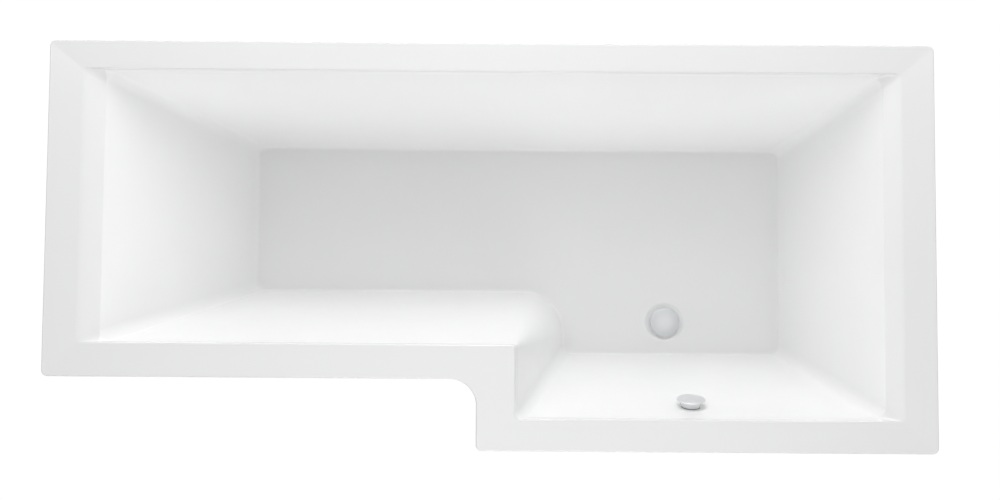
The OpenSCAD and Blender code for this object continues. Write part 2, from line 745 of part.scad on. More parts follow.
// Lever: a bell crank under the stem, worked by the cable
module lift_lever() {
    color("silver") at_waste() translate([lever_l, 0, pivot_z]) rotate([0, -lever_turn / 2, 0]) difference() {
        rotate([90, 0, 0]) union() {
            cylinder(r = pin_r + body_wall, h = lever_t, center = true);
            translate([-lever_l, 0, 0]) cylinder(r = tip_r, h = lever_t, center = true);
            translate([-lever_l / 2, 0, 0]) cube([lever_l, lever_arm_w, lever_t], center = true);
            translate([0, lever_up / 2, 0]) cube([lever_arm_w, lever_up, lever_t], center = true);
            translate([0, lever_up, 0]) cylinder(r = tip_r, h = lever_t, center = true);
        }
        rotate([90, 0, 0]) cylinder(r = pin_r + run, h = lever_t + 2 * over, center = true);
    }
}
module lever_pin() {
    color("silver") at_waste() translate([lever_l, 0, pivot_z]) rotate([90, 0, 0])
        cylinder(r = pin_r, h = pocket_w + 2 * body_wall, center = true);
}
gland_r = 5;
gland_l = 9;
cable_r = 2.5;
cable_z = pivot_z + lever_up * cos(lever_turn / 2);
module lever_cover() {
    color("whitesmoke") at_waste() difference() {
        union() {
            translate([pocket_far + seat, -pocket_w / 2 - body_wall, pocket_low - body_wall])
                cube([body_wall, pocket_w + 2 * body_wall, pocket_high - pocket_low + 2 * body_wall]);
            translate([pocket_far + seat + body_wall / 2, 0, cable_z]) rotate([0, 90, 0])
                cylinder(r = gland_r, h = gland_l + body_wall / 2);
        }
        translate([pocket_far, 0, cable_z]) rotate([0, 90, 0])
            cylinder(r = cable_r / 2, h = gland_l + body_wall + over);
    }
}

// Overflow, in the frame on the front wall

front_seal_t = 1;
collar_wall = 3;
back_seal_r = 30;
elbow_back_seal_t = 4;
elbow_front = -skin_t - seat - elbow_back_seal_t - seat;
elbow_flange_r = 31;
elbow_flange_t = 4;
elbow_r = 27;
elbow_wall = 3;
elbow_depth = 44;
elbow_socket = 12;
// Depth of the outlet's axis in the elbow, as a share of the elbow's depth
outlet_share = 0.4;
outlet_z = elbow_front - elbow_depth * outlet_share;
outlet_l = 58;
spindle_r = 4;
hub_r = 7;
bearing_h = 6;
cover_t = 3;
crank_pin_r = 2;
crank_t = 4;
crank_throw = lever_up * lever_turn * PI / 180 / (2 * sin(knob_turn / 2));
crank_z = outlet_z - crank_t;
overflow_at = [overflow_x, overflow_y, overflow_z];
front_out = [0, cos(front_slope), sin(front_slope)];
// Middle of the elbow's chamber, above its outlet
outlet_at = overflow_at + front_out * outlet_z;
knob_low = front_seal_t + collar_h + knob_gap;

module overflow_knob() {
    steps = 6;
    color("silver") on_overflow() rotate_extrude() polygon(concat(
        [[0, knob_low - knob_gap], [hub_r, knob_low - knob_gap], [hub_r, knob_low], [knob_r - edge, knob_low],
            [knob_r, knob_low + edge], [knob_r, knob_low + knob_t - edge]],
        [for (i = [1 : steps]) let (a = 90 * i / steps)
            [knob_r * cos(a), knob_low + knob_t - edge + (edge + knob_t / 2) * sin(a)]]));
}
module control_spindle() {
    top = knob_low - knob_gap - fit;
    foot = elbow_front - elbow_depth - cover_t / 2;
    color("silver") on_overflow() translate([0, 0, foot]) cylinder(r = spindle_r, h = top - foot);
}
module spindle_crank() {
    color("silver") on_overflow() translate([0, 0, crank_z]) difference() {
        union() {
            cylinder(r = crank_throw + 2 * crank_pin_r, h = crank_t);
            rotate([0, 0, -90 - knob_turn / 2]) translate([crank_throw + crank_pin_r / 2, 0, -crank_t])
                cylinder(r = crank_pin_r / 2, h = crank_t + over);
        }
        translate([0, 0, -over]) cylinder(r = spindle_r + run, h = crank_t + 2 * over);
    }
}
module overflow_collar() {
    bore = spigot_r - collar_wall;
    foot = elbow_front - elbow_socket;
    color("silver") on_overflow() difference() {
        union() {
            translate([0, 0, front_seal_t]) cylinder(r = collar_r, h = collar_h);
            translate([0, 0, foot]) cylinder(r = spigot_r, h = front_seal_t + collar_h - foot);
        }
        translate([0, 0, front_seal_t + collar_h / 2]) cylinder(r = collar_r - collar_wall / 2, h = collar_h);
        difference() {
            translate([0, 0, foot - over]) cylinder(r = bore, h = collar_h - foot + 3 * over);
            translate([0, 0, -bearing_h / 2]) cylinder(r = hub_r, h = bearing_h);
            for (a = [0, 120, 240]) rotate([0, 0, a])
                translate([0, -spider_w / 2, -bearing_h / 2]) cube([bore + over, spider_w, bearing_h]);
        }
        translate([0, 0, -bearing_h]) cylinder(r = spindle_r + run, h = 2 * bearing_h);
    }
}
module overflow_front_seal() {
    color("dimgray") on_overflow() translate([0, 0, fit])
        tube(collar_r - fit, spigot_r + fit, front_seal_t - 2 * fit);
}
module overflow_back_seal() {
    color("dimgray") on_overflow() translate([0, 0, -skin_t - seat - elbow_back_seal_t])
        tube(back_seal_r, overflow_hole_r, elbow_back_seal_t);
}
module overflow_elbow() {
    color("whitesmoke") difference() {
        union() {
            on_overflow() translate([0, 0, elbow_front - elbow_flange_t])
                cylinder(r = elbow_flange_r, h = elbow_flange_t);
            on_overflow() translate([0, 0, elbow_front - elbow_depth]) cylinder(r = elbow_r, h = elbow_depth);
            at_outlet() translate([0, 0, -outlet_l]) cylinder(r = hose_r, h = outlet_l);
        }
        on_overflow() translate([0, 0, elbow_front - elbow_depth - over])
            cylinder(r = elbow_r - elbow_wall, h = elbow_depth - elbow_socket + over);
        on_overflow() translate([0, 0, elbow_front - elbow_socket - over])
            cylinder(r = spigot_r + run, h = elbow_socket + 2 * over);
        at_outlet() translate([0, 0, -outlet_l]) cylinder(r = hose_bore_r, h = outlet_l + over);
        on_overflow() cover_screw_places() translate([0, 0, -over])
            cylinder(r = cover_screw_r + run, h = cover_screw_l + 2 * over);
    }
}
cover_screw_r = 1.2;
cover_screw_l = 10;
cover_screw_in = elbow_r - elbow_wall / 2;
module cover_screw_places() {
    for (a = [45, 135, 225, 315]) rotate([0, 0, a])
        translate([cover_screw_in, 0, elbow_front - elbow_depth]) children();
}
cable_exit_x = 17;
cover_back = elbow_front - elbow_depth - seat - cover_t;
// Boss behind the cover that the cable's gland hangs from
gland_boss_r = 6.5;
gland_at = overflow_at + front_out * (cover_back - gland_boss_r) + [cable_exit_x, 0, 0];
gland_drop = gland_boss_r + gland_l;
module elbow_cover() {
    color("whitesmoke") difference() {
        union() {
            on_overflow() translate([0, 0, cover_back]) cylinder(r = elbow_r, h = cover_t);
            on_overflow() translate([0, 0, cover_back - cover_t]) cylinder(r = hub_r, h = cover_t + over);
            on_overflow() translate([cable_exit_x, 0, cover_back - 2 * gland_boss_r])
                cylinder(r = gland_boss_r, h = 2 * gland_boss_r + over);
            translate(gland_at) rotate([180, 0, 0]) cylinder(r = gland_r, h = gland_drop);
        }
        on_overflow() translate([0, 0, cover_back]) cylinder(r = spindle_r + run, h = cover_t + over);
        translate(gland_at) rotate([180, 0, 0]) cylinder(r = cable_r / 2, h = gland_drop + over);
        on_overflow() cover_screw_places() translate([0, 0, -2 * cover_t])
            cylinder(r = cover_screw_r + fit, h = 3 * cover_t);
    }
}
module cover_screws() {
    color("silver") on_overflow() cover_screw_places() {
        translate([0, 0, -seat - cover_t - seat - screw_head_h / 2])
            cylinder(r = elbow_wall / 2 + fit, h = screw_head_h / 2);
        translate([0, 0, -seat - cover_t - seat - screw_head_h / 2])
            cylinder(r = cover_screw_r, h = cover_t + 2 * seat + cover_screw_l);
    }
}

// Sweeps: rings of a tube along a path of points

tube_sides = 8;
sweep_lean = [1, 1, 0];
function heading(path, i) = unit(path[min(i + 1, len(path) - 1)] - path[max(i - 1, 0)]);
function sweep_ring(centre, along, r) =
    let (u = unit(cross(along, sweep_lean)), v = cross(along, u))
    [for (i = [0 : tube_sides - 1]) let (a = 360 * i / tube_sides) centre + u * r * cos(a) + v * r * sin(a)];
function sweep_sides(rings, first, flip) =
    [for (k = [0 : rings - 2], i = [0 : tube_sides - 1])
        let (j = (i + 1) % tube_sides, a = first + k * tube_sides + i, b = first + k * tube_sides + j)
        let (c = a + tube_sides, d = b + tube_sides)
        each flip ? [[a, c, d], [a, d, b]] : [[a, d, c], [a, b, d]]];

// A line straight down, a quarter bend under the floor and a line to the waste,
// drifting along the bath on the way down. s is the distance along it.
function run_down(start, end, bend_r, straight, s) =
    let (line_l = start[2] - end[2] - bend_r)
    let (a = min(90, max(0, s - line_l) / bend_r * 180 / PI))
    let (share = min(1, max(0, (s - straight) / (line_l - 2 * straight))))
    [mix(start[0], end[0], share * share * (3 - 2 * share)),
        start[1] + bend_r * (1 - cos(a)) + max(0, s - line_l - bend_r * PI / 2),
        start[2] - min(s, line_l) - bend_r * sin(a)];
function run_l(start, end, bend_r) =
    start[2] - end[2] - bend_r + bend_r * PI / 2 + end[1] - start[1] - bend_r;

waste_at = [waste_x, waste_y, waste_z];
hose_start = outlet_at - [0, 0, outlet_l + seat];
hose_end = waste_at + [0, -inlet_l - seat, inlet_z];
hose_l = run_l(hose_start, hose_end, hose_bend_r);
cuff_l = 2 * hose_r;
rib_h = 2;
cuff_r = hose_r - rib_h;
ribs = floor((hose_l - 2 * cuff_l) / rib_pitch);

module overflow_hose() {
    rib_start = (hose_l - ribs * rib_pitch) / 2;
    outer_s = concat([0], [for (i = [0 : 2 * ribs]) rib_start + i * rib_pitch / 2], [hose_l]);
    outer_r = concat([cuff_r], [for (i = [0 : 2 * ribs]) i % 2 == 0 ? cuff_r : hose_r], [cuff_r]);
    outer_path = [for (s = outer_s) run_down(hose_start, hose_end, hose_bend_r, cuff_l, s)];
    inner_count = ceil(ribs / 2);
    inner_path = [for (i = [0 : inner_count])
        run_down(hose_start, hose_end, hose_bend_r, cuff_l, hose_l * i / inner_count)];
    outer_n = len(outer_path);
    inner_n = len(inner_path);
    points = concat(
        [for (i = [0 : outer_n - 1]) each sweep_ring(outer_path[i], heading(outer_path, i), outer_r[i])],
        [for (i = [0 : inner_n - 1]) each sweep_ring(inner_path[i], heading(inner_path, i), hose_bore_r)]);
    first_inner = outer_n * tube_sides;
    last_outer = first_inner - tube_sides;
    last_inner = len(points) - tube_sides;
    ends = [for (i = [0 : tube_sides - 1]) let (j = (i + 1) % tube_sides)
        each [[i, first_inner + j, first_inner + i], [i, j, first_inner + j],
            [last_outer + i, last_inner + j, last_outer + j],
            [last_outer + i, last_inner + i, last_inner + j]]];
    color("lightgray") polyhedron(points,
        concat(sweep_sides(outer_n, 0, true), sweep_sides(inner_n, first_inner, false), ends), 10);
}

nut_wall = 4;
nut_over_pipe = 14;
nut_over_hose = 12;
hose_seal_t = 4;
// Compression nut in the pipe's frame: z = 0 is the pipe's end and the hose lies at +z
module hose_nut() {
    difference() {
        translate([0, 0, -nut_over_pipe]) cylinder(r = hose_r + nut_wall, h = nut_over_pipe + nut_over_hose);
        translate([0, 0, -nut_over_pipe - over])
            cylinder(r = hose_r + run, h = nut_over_pipe + over + hose_seal_t + 2 * seat);
        cylinder(r = cuff_r + fit, h = nut_over_hose + over);
        for (a = [0 : 30 : 330]) rotate([0, 0, a])
            translate([hose_r + nut_wall + nut_wall / 8, 0, -nut_over_pipe + nut_wall / 2])
                cylinder(r = nut_wall / 3, h = nut_over_pipe + nut_over_hose);
    }
}
module hose_seal() {
    translate([0, 0, 2 * seat]) tube(hose_r - fit, cuff_r + fit, hose_seal_t - seat);
}
module at_outlet() {
    translate(outlet_at - [0, 0, outlet_l]) rotate([180, 0, 0]) children();
}
module at_inlet() {
    at_waste() translate([0, -inlet_l, inlet_z]) rotate([90, 0, 0]) children();
}
module upper_hose_nut() { color("whitesmoke") at_outlet() hose_nut(); }
module lower_hose_nut() { color("whitesmoke") at_inlet() hose_nut(); }
module hose_seals() {
    color("dimgray") at_outlet() hose_seal();
    color("dimgray") at_inlet() hose_seal();
}

// Cable: down the wall beside the hose, under the floor and round into the lever cover
cable_bend_r = 45;
cable_turn_r = 32;
cable_tail = 12;
cable_start = gland_at - [0, 0, gland_drop + seat];
cable_end = waste_at + [pocket_far + 2 * seat + body_wall + gland_l, 0, cable_z];
cable_corner = cable_end + [cable_tail + cable_turn_r, -cable_turn_r, 0];
cable_run = run_l(cable_start, cable_corner, cable_bend_r);
cable_steps = 40;
cable_arc_steps = 8;
module control_cable() {
    path = concat(
        [for (i = [0 : cable_steps])
            run_down(cable_start, cable_corner, cable_bend_r, cable_tail, cable_run * i / cable_steps)],
        [for (i = [1 : cable_arc_steps]) let (a = 90 * i / cable_arc_steps)
            cable_corner + [cable_turn_r * (cos(a) - 1), cable_turn_r * sin(a), 0]],
        [cable_end]);
    count = len(path);
    points = [for (i = [0 : count - 1]) each sweep_ring(path[i], heading(path, i), cable_r)];
    caps = [[for (i = [0 : tube_sides - 1]) i],
        [for (i = [tube_sides - 1 : -1 : 0]) (count - 1) * tube_sides + i]];
    color("dimgray") polyhedron(points, concat(sweep_sides(count, 0, true), caps), 10);
}

acrylic_shell();
glassfibre_backing();
baseboard();
back_batten();
head_batten();
tap_batten();
narrow_front_batten();
wide_front_batten();
cradle_bar(0);  // head_cradle_bar
cradle_bar(1);  // tap_cradle_bar
strap(0);  // head_back_strap
strap(1);  // head_front_strap
strap(2);  // tap_back_strap
strap(3);  // tap_front_strap
strap_bolts();
board_screws();
rim_screws();
centre_foot_bracket();
foot_stud(0);  // head_back_stud
foot_stud(1);  // head_front_stud
foot_stud(2);  // tap_back_stud
foot_stud(3);  // tap_front_stud
foot_stud(4);  // centre_stud
foot_pad(0);  // head_back_pad
foot_pad(1);  // head_front_pad
foot_pad(2);  // tap_back_pad
foot_pad(3);  // tap_front_pad
foot_pad(4);  // centre_pad
foot_lock_nuts();
wall_bracket(0);  // head_wall_bracket
wall_bracket(1);  // back_wall_bracket_a
wall_bracket(2);  // back_wall_bracket_b
wall_bracket(3);  // tap_wall_bracket
waste_flange();
waste_top_seal();
waste_back_seal();
waste_body();
plug_cap();
plug_seal();
plug_stem();
lift_lever();
lever_pin();
lever_cover();
control_cable();
overflow_knob();
control_spindle();
spindle_crank();
overflow_collar();
overflow_front_seal();
overflow_back_seal();
overflow_elbow();
elbow_cover();
cover_screws();
overflow_hose();
upper_hose_nut();
lower_hose_nut();
hose_seals();
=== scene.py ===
# %% [markdown]
# # An L-shaped shower bath, dressed for the camera
# The bath is a white acrylic moulding that stands on a steel cradle. Its measured solids arrive as a fixed
# frame, in metres, with the origin on the floor under the middle of the rim. This lesson dresses them: the
# moulding is built again with soft edges, the metal and plastic fittings get rounder shapes and threads,
# and every solid gets a finish made of nodes. Nothing here changes the size of the bath.

# %% Load the frame
import json
import math
import bpy
import bmesh
from mathutils import Matrix, Vector


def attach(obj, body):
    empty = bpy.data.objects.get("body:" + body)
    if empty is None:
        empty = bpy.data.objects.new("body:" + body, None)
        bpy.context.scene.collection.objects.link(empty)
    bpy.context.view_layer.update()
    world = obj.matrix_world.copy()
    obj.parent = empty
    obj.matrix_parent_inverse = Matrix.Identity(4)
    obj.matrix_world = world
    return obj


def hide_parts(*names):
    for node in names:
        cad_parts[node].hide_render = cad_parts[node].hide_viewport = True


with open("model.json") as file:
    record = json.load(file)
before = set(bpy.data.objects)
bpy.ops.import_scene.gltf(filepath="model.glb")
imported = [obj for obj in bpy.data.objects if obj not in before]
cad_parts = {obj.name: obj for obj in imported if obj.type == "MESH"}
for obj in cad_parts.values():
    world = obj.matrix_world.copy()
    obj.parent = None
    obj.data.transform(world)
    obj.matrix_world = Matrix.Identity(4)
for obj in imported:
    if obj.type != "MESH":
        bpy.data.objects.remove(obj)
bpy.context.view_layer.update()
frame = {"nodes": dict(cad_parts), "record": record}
nodes = frame["nodes"]
scene = bpy.context.scene

# %% [markdown]
# ## The camera
# The picture looks down into the bath from about 2.3 m above the rim, a little in front of its middle.
# Place, turn and lens were solved from the six outer corners of the rim, so they are written as plain
# numbers here. A camera that only tracks the object would lose the small tilt that shows more of the back
# wall.

# %% Camera
camera_data = bpy.data.cameras.new("camera")
camera_data.sensor_width = 36
camera_data.lens = 43.45
camera = bpy.data.objects.new("camera", camera_data)
camera.location = (0.021, -0.139, 2.843)
camera.rotation_euler = [math.radians(a) for a in (3.24, 0.04, 0.42)]
scene.collection.objects.link(camera)
scene.camera = camera
print("camera at", tuple(camera.location))

# %% [markdown]
# ## Formulas for finishes
# A finish is a small network of nodes. Wiring them one by one hides the idea, so this class wraps one
# output socket and lets it be used in a formula: adding or multiplying wires makes the Math nodes. Every
# other node comes from the method node, which sets its settings first and then its sockets.

# %% The class Wire
class Wire:
    def __init__(self, tree, socket):
        self.tree, self.socket = tree, socket

    def node(self, kind, settings, sockets, output=0):
        made = self.tree.nodes.new("ShaderNode" + kind)
        for name, value in settings.items():
            setattr(made, name, value)
        for name, value in sockets.items():
            if isinstance(value, Wire):
                self.tree.links.new(value.socket, made.inputs[name])
            else:
                made.inputs[name].default_value = value
        return Wire(self.tree, made.outputs[output])

    def math(self, operation, first, second):
        return self.node("Math", {"operation": operation}, {0: first, 1: second})

    def __add__(self, other):
        return self.math("ADD", self, other)

    def __sub__(self, other):
        return self.math("SUBTRACT", self, other)

    def __mul__(self, other):
        return self.math("MULTIPLY", self, other)

    def __rpow__(self, other):
        return self.math("POWER", other, self)

    __radd__, __rmul__ = __add__, __mul__


# %% [markdown]
# ## Words for the finishes
# All the finishes are made of a few patterns: clouds of noise, cells, a colour between two others and a
# relief. Object coordinates are in metres here, because no object is moved or scaled, so a scale of 500
# gives spots of about two millimetres.

# %% Patterns
def clouds(place, scale, detail=2.0, roughness=0.5):
    sockets = {"Vector": place, "Scale": scale, "Detail": detail, "Roughness": roughness}
    return place.node("TexNoise", {}, sockets)


def cells(place, scale):
    return place.node("TexVoronoi", {}, {"Vector": place, "Scale": scale}, "Color")


def drawn_out(place, scale, turn=(0, 0, 0)):
    return place.node("Mapping", {}, {"Vector": place, "Scale": scale, "Rotation": turn})


def between(share, low, high):
    return share.node("Mix", {"data_type": "RGBA"}, {0: share, 6: (*low, 1), 7: (*high, 1)}, 2)


def steps(value, low, high):
    return value.node("MapRange", {"interpolation_type": "SMOOTHSTEP"},
                      {"Value": value, "From Min": low, "From Max": high})


def relief(height, depth, strength=1.0):
    return height.node("Bump", {}, {"Height": height, "Distance": depth, "Strength": strength})


finishes = {}


def finish(name, recipe):
    made = bpy.data.materials.new(name)
    made.use_nodes = True
    tree = made.node_tree
    tree.nodes.clear()
    place = Wire(tree, tree.nodes.new("ShaderNodeTexCoord").outputs["Object"])
    surface = place.node("BsdfPrincipled", {}, recipe(place))
    tree.links.new(surface.socket, tree.nodes.new("ShaderNodeOutputMaterial").inputs["Surface"])
    finishes[name] = made
    print("finish", name, "with", len(tree.nodes), "nodes")


# %% [markdown]
# ## White gloss acrylic
# The sheet is drawn down hot over a mould. It stays glossy, but its skin is never perfectly flat: there is
# a faint, wide waviness that shows only in reflections, and the finest trace of wiping in its roughness.
# The colour is one clean white, so the recipe keeps its changes very small. The rim and its two wide end
# lips get a slightly deeper white, which is painted shade: it darkens these level faces against the basin,
# as the light falls. The lips are found by their place: near the ends, above the walls, and inside the
# skirt. The front limit slants, so that one line serves the narrow head end and the wide waste end.

# %% Finish of the moulding
LIPS_FROM, LIPS_ABOVE, RIM_ABOVE = (0.744, 0.748), (0.526, 0.529), (0.5445, 0.5465)
ENDS_AT, BACK_AT, FRONT_AT, FRONT_SLANT = (0.80, 0.82), (0.35, 0.37), (0.285, 0.300), 0.0877


def acrylic(place):
    wide, fine = clouds(place, 7.0), clouds(place, 160.0)
    along, across, high = (place.node("SeparateXYZ", {}, {"Vector": place}, axis) for axis in range(3))
    off_the_ends = steps(along * along * -1.0, -ENDS_AT[1] ** 2, -ENDS_AT[0] ** 2)
    off_the_back = steps(across * -1.0, -BACK_AT[1], -BACK_AT[0])
    off_the_front = steps(across + along * FRONT_SLANT, -FRONT_AT[1], -FRONT_AT[0])
    near_the_ends = steps(along * along, LIPS_FROM[0] ** 2, LIPS_FROM[1] ** 2)
    inside = off_the_ends * off_the_back * off_the_front
    # Painted shade: the rim and the end lips get a deeper white than the basin
    painted_lip_shade = inside * near_the_ends * steps(high, *LIPS_ABOVE)
    painted_rim_shade = painted_lip_shade.math("MAXIMUM", painted_lip_shade, steps(high, *RIM_ABOVE))
    return {
        "Base Color": between(painted_rim_shade * 0.85 + wide * 0.15, (0.970, 0.972, 0.973), (0.870, 0.872, 0.873)),
        "Roughness": 0.16 + 0.05 * clouds(place, 30.0, 4.0),
        "IOR": 1.49,
        "Normal": relief(wide * 0.7 + fine * 0.02, 0.0012),
    }


finish("acrylic", acrylic)


# %% [markdown]
# ## Glass-fibre backing
# Under the acrylic, chopped glass strands in resin are sprayed and rolled. The strands lie in all
# directions and show as pale hairs in a slightly yellow resin, over a lumpy surface. Noise that is
# stretched along one direction gives hairs, and four such layers give a mat. Each layer is turned first and
# drawn out after that: the other way round, the strands of all layers would lie in one direction.

# %% Finish of the backing
def glassfibre(place):
    hairs = None
    for turn in ((0.0, 0.5, 0.6), (0.0, -0.7, -0.5), (0.0, 1.0, 1.6), (0.0, -0.2, 2.4)):
        laid = drawn_out(place, (1.0, 1.0, 1.0), turn)
        layer = steps(clouds(drawn_out(laid, (22, 260, 260)), 1.0, 3.0), 0.55, 0.66)
        hairs = layer if hairs is None else hairs.math("MAXIMUM", hairs, layer)
    lumps = clouds(place, 26.0, 5.0, 0.6)
    return {
        "Base Color": between(hairs * 0.8 + lumps * 0.2, (0.62, 0.585, 0.47), (0.80, 0.785, 0.72)),
        "Roughness": 0.42 + 0.25 * lumps,
        "Normal": relief(hairs * 0.35 + lumps, 0.0035, 0.9),
    }


finish("glassfibre", glassfibre)


# %% [markdown]
# ## Chipboard and softwood
# The board under the floor is pressed from chips, which are cells of many browns. The battens are sawn
# softwood: year rings are bands across the width, drawn out along the length, with fine dark fibres between
# them. A batten that runs across the bath needs its grain turned, so the recipe takes the direction.

# %% Finishes of the wood
def chipboard(place):
    grey = place.node("RGBToBW", {}, {"Color": cells(drawn_out(place, (1.0, 1.7, 1.0)), 210.0)})
    return {
        "Base Color": between(grey, (0.36, 0.245, 0.135), (0.66, 0.51, 0.33)),
        "Roughness": 0.72 + 0.15 * clouds(place, 90.0),
        "Normal": relief(grey, 0.0004, 0.7),
    }


def softwood(turn):
    def recipe(place):
        along = drawn_out(place, (1.0, 1.0, 1.0), (0, 0, turn))
        sway = clouds(drawn_out(along, (1.2, 9.0, 9.0)), 1.0, 3.0)
        rings = along.node("TexWave", {"bands_direction": "Y"}, {
            "Vector": drawn_out(along, (0.6, 30.0, 22.0)), "Scale": 1.6, "Distortion": 3.2, "Detail": 2.0})
        fibres = clouds(drawn_out(along, (10.0, 420.0, 420.0)), 1.0, 3.0)
        tone = rings * 0.45 + sway * 0.35 + fibres * 0.35
        return {
            "Base Color": between(tone, (0.50, 0.33, 0.175), (0.77, 0.60, 0.39)),
            "Roughness": 0.58 + 0.2 * fibres,
            "Normal": relief(fibres + rings * 0.3, 0.0003, 0.8),
        }
    return recipe


finish("chipboard", chipboard)
finish("softwood along", softwood(0.0))
finish("softwood across", softwood(math.pi / 2))


# %% [markdown]
# ## Steel and brass
# Hot-dip zinc freezes in flat crystals, each with its own brightness, so the folded parts get large cells
# that change colour and roughness together. The screws and studs are plated bright, and only their
# roughness varies. The knob and the plug cap are satin metal: their roughness is even and high enough to
# blur the room.

# %% Finishes of the metal
def galvanised(place):
    crystal = place.node("RGBToBW", {}, {"Color": cells(place, 75.0)})
    rub = clouds(place, 14.0, 4.0)
    return {
        "Base Color": between(crystal * 0.6 + rub * 0.4, (0.50, 0.51, 0.52), (0.70, 0.71, 0.715)),
        "Metallic": 0.9,
        "Roughness": 0.30 + 0.22 * crystal + 0.1 * rub,
        "Normal": relief(crystal, 0.0001, 0.4),
    }


def zinc(place):
    rub = clouds(place, 120.0, 4.0)
    return {"Base Color": between(rub, (0.62, 0.62, 0.60), (0.74, 0.74, 0.71)), "Metallic": 1.0,
            "Roughness": 0.24 + 0.18 * rub, "Normal": relief(rub, 0.00005, 0.4)}


def satin_metal(place):
    rub = clouds(drawn_out(place, (1.0, 1.0, 3.0)), 400.0, 3.0)
    haze = clouds(place, 35.0, 3.0)
    return {"Base Color": between(haze, (0.79, 0.80, 0.81), (0.86, 0.87, 0.875)), "Metallic": 0.7,
            "Roughness": 0.30 + 0.08 * rub + 0.05 * haze, "Normal": relief(rub, 0.00002, 0.4)}


# Painted shading: the cap's colour is paler at the middle and darker towards the rim, by distance from the
# waste axis
def cap_painted_shading(place):
    from_axis = place.node("VectorMath", {"operation": "DISTANCE"}, {
        0: drawn_out(place, (1.0, 1.0, 0.0)), 1: (0.385, -0.145, 0.0)}, 1)
    rub = clouds(place, 400.0, 3.0)
    return {"Base Color": between(steps(from_axis, 0.006, 0.032), (0.86, 0.87, 0.875), (0.71, 0.73, 0.745)),
            "Metallic": 0.5, "Roughness": 0.45 + 0.08 * rub, "Normal": relief(rub, 0.00002, 0.4)}


def brass(place):
    rub = clouds(drawn_out(place, (1.0, 1.0, 8.0)), 200.0, 3.0)
    return {"Base Color": between(rub, (0.62, 0.45, 0.20), (0.74, 0.57, 0.29)), "Metallic": 1.0,
            "Roughness": 0.25 + 0.15 * rub, "Normal": relief(rub, 0.00003, 0.5)}


finish("galvanised", galvanised)
finish("zinc", zinc)
finish("satin metal", satin_metal)
finish("cap painted shading", cap_painted_shading)
finish("brass", brass)


# %% [markdown]
# ## Plastics and rubber
# Moulded fittings have a fine spark-eroded grain from the mould, the same everywhere. One recipe with a
# base colour, a gloss and a grain serves them all: white fittings, the grey lever, black pads, the hose,
# the cable jacket and the rubber rings. A little dirt in the hollows would be wrong on a new bath, so there
# is none.

# %% Finishes of the plastics
def moulded(color, gloss, grain):
    def recipe(place):
        wide, fine = clouds(place, 18.0, 3.0), clouds(place, 900.0)
        dark = [c * 0.93 for c in color]
        return {"Base Color": between(wide, dark, color), "Roughness": gloss + 0.08 * wide,
                "Normal": relief(fine, grain, 0.6)}
    return recipe


finish("white plastic", moulded((0.82, 0.82, 0.81), 0.34, 0.00012))
finish("grey plastic", moulded((0.42, 0.43, 0.44), 0.40, 0.00012))
finish("black plastic", moulded((0.035, 0.035, 0.037), 0.45, 0.00018))
finish("hose plastic", moulded((0.76, 0.76, 0.75), 0.38, 0.00015))
finish("cable jacket", moulded((0.05, 0.05, 0.055), 0.48, 0.00015))
finish("rubber", moulded((0.028, 0.028, 0.028), 0.62, 0.0002))

# %% [markdown]
# ## Every solid gets its finish
# The record names a material slot for each solid. The same slots choose the finish here, so a solid that
# stays as it is and a piece that replaces one look alike. Battens that run across the bath take the turned
# grain.

# %% Finishes by slot
slot_finish = {"acrylic": "acrylic", "glassfibre": "glassfibre", "chipboard": "chipboard",
               "softwood": "softwood along", "galvanised_steel": "galvanised", "zinc_fasteners": "zinc",
               "black_plastic": "black plastic", "satin_metal": "satin metal", "brass_inside": "brass",
               "white_fitting": "white plastic", "grey_plastic": "grey plastic",
               "hose_plastic": "hose plastic", "cable_jacket": "cable jacket", "rubber": "rubber"}
node_slot = {s["node"]: s["material_slot"] for s in frame["record"]["subparts"]}
node_body = {n: body for body, members in frame["record"]["behaviour"]["bodies"].items() for n in members}
for name, solid in nodes.items():
    chosen = finishes[slot_finish[node_slot[name]]]
    if name in ("head_batten", "tap_batten"):
        chosen = finishes["softwood across"]
    solid.data.materials.clear()
    solid.data.materials.append(chosen)
print("dressed", len(nodes), "solids")


# %% [markdown]
# ## Turning a mesh into a piece
# A piece is a mesh that stands for one or more solids: it takes their place, rides on their body and shows
# their slot's finish. Its normals are made to point outwards, and edges sharper than a given angle stay
# crisp while the rest is shaded smooth. Two gentler kinds stay crisp too: the mitres of the decks, which
# are almost level, and the creases that the caller names. Shading weighed by face size keeps large faces
# flat where a round meets them.

# %% Pieces
MITRE_BEND, NEARLY_LEVEL, CREASE_BEND = 1.5, 0.996, 5


def piece(name, bm, stands_for, crisp=32.0, creases=()):
    creases = set(creases)
    bmesh.ops.recalc_face_normals(bm, faces=bm.faces[:])
    for face in bm.faces:
        face.smooth = True
    for line in bm.edges:
        bend = math.degrees(line.calc_face_angle(0.0))
        mitre = bend > MITRE_BEND and all(f.normal.z > NEARLY_LEVEL for f in line.link_faces)
        line.smooth = bend < crisp and not mitre and not (bend > CREASE_BEND and line in creases)
    mesh = bpy.data.meshes.new(name)
    bm.to_mesh(mesh)
    bm.free()
    mesh.materials.append(nodes[stands_for[0]].data.materials[0])
    made = bpy.data.objects.new(name, mesh)
    scene.collection.objects.link(made)
    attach(made, node_body[stands_for[0]])
    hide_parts(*stands_for)
    print("piece", name, "with", len(mesh.vertices), "vertices")
    return made


def evenly_shaded(made):
    weigh = made.modifiers.new("even shading", "WEIGHTED_NORMAL")
    weigh.keep_sharp = True
    return weigh


def joined(first, *others):
    for other in others:
        kept = bpy.data.meshes.new("part")
        other.to_mesh(kept)
        other.free()
        first.from_mesh(kept)
        bpy.data.meshes.remove(kept)
    return first


# %% [markdown]
# ## The sides of the bath
# The rim is a rectangle with one corner taken out, which leaves six sides. Each side of the moulding is
# described by how far it stands in from the rim: its deck, its lip and its leaning wall. The head end leans
# most, because it is the backrest.

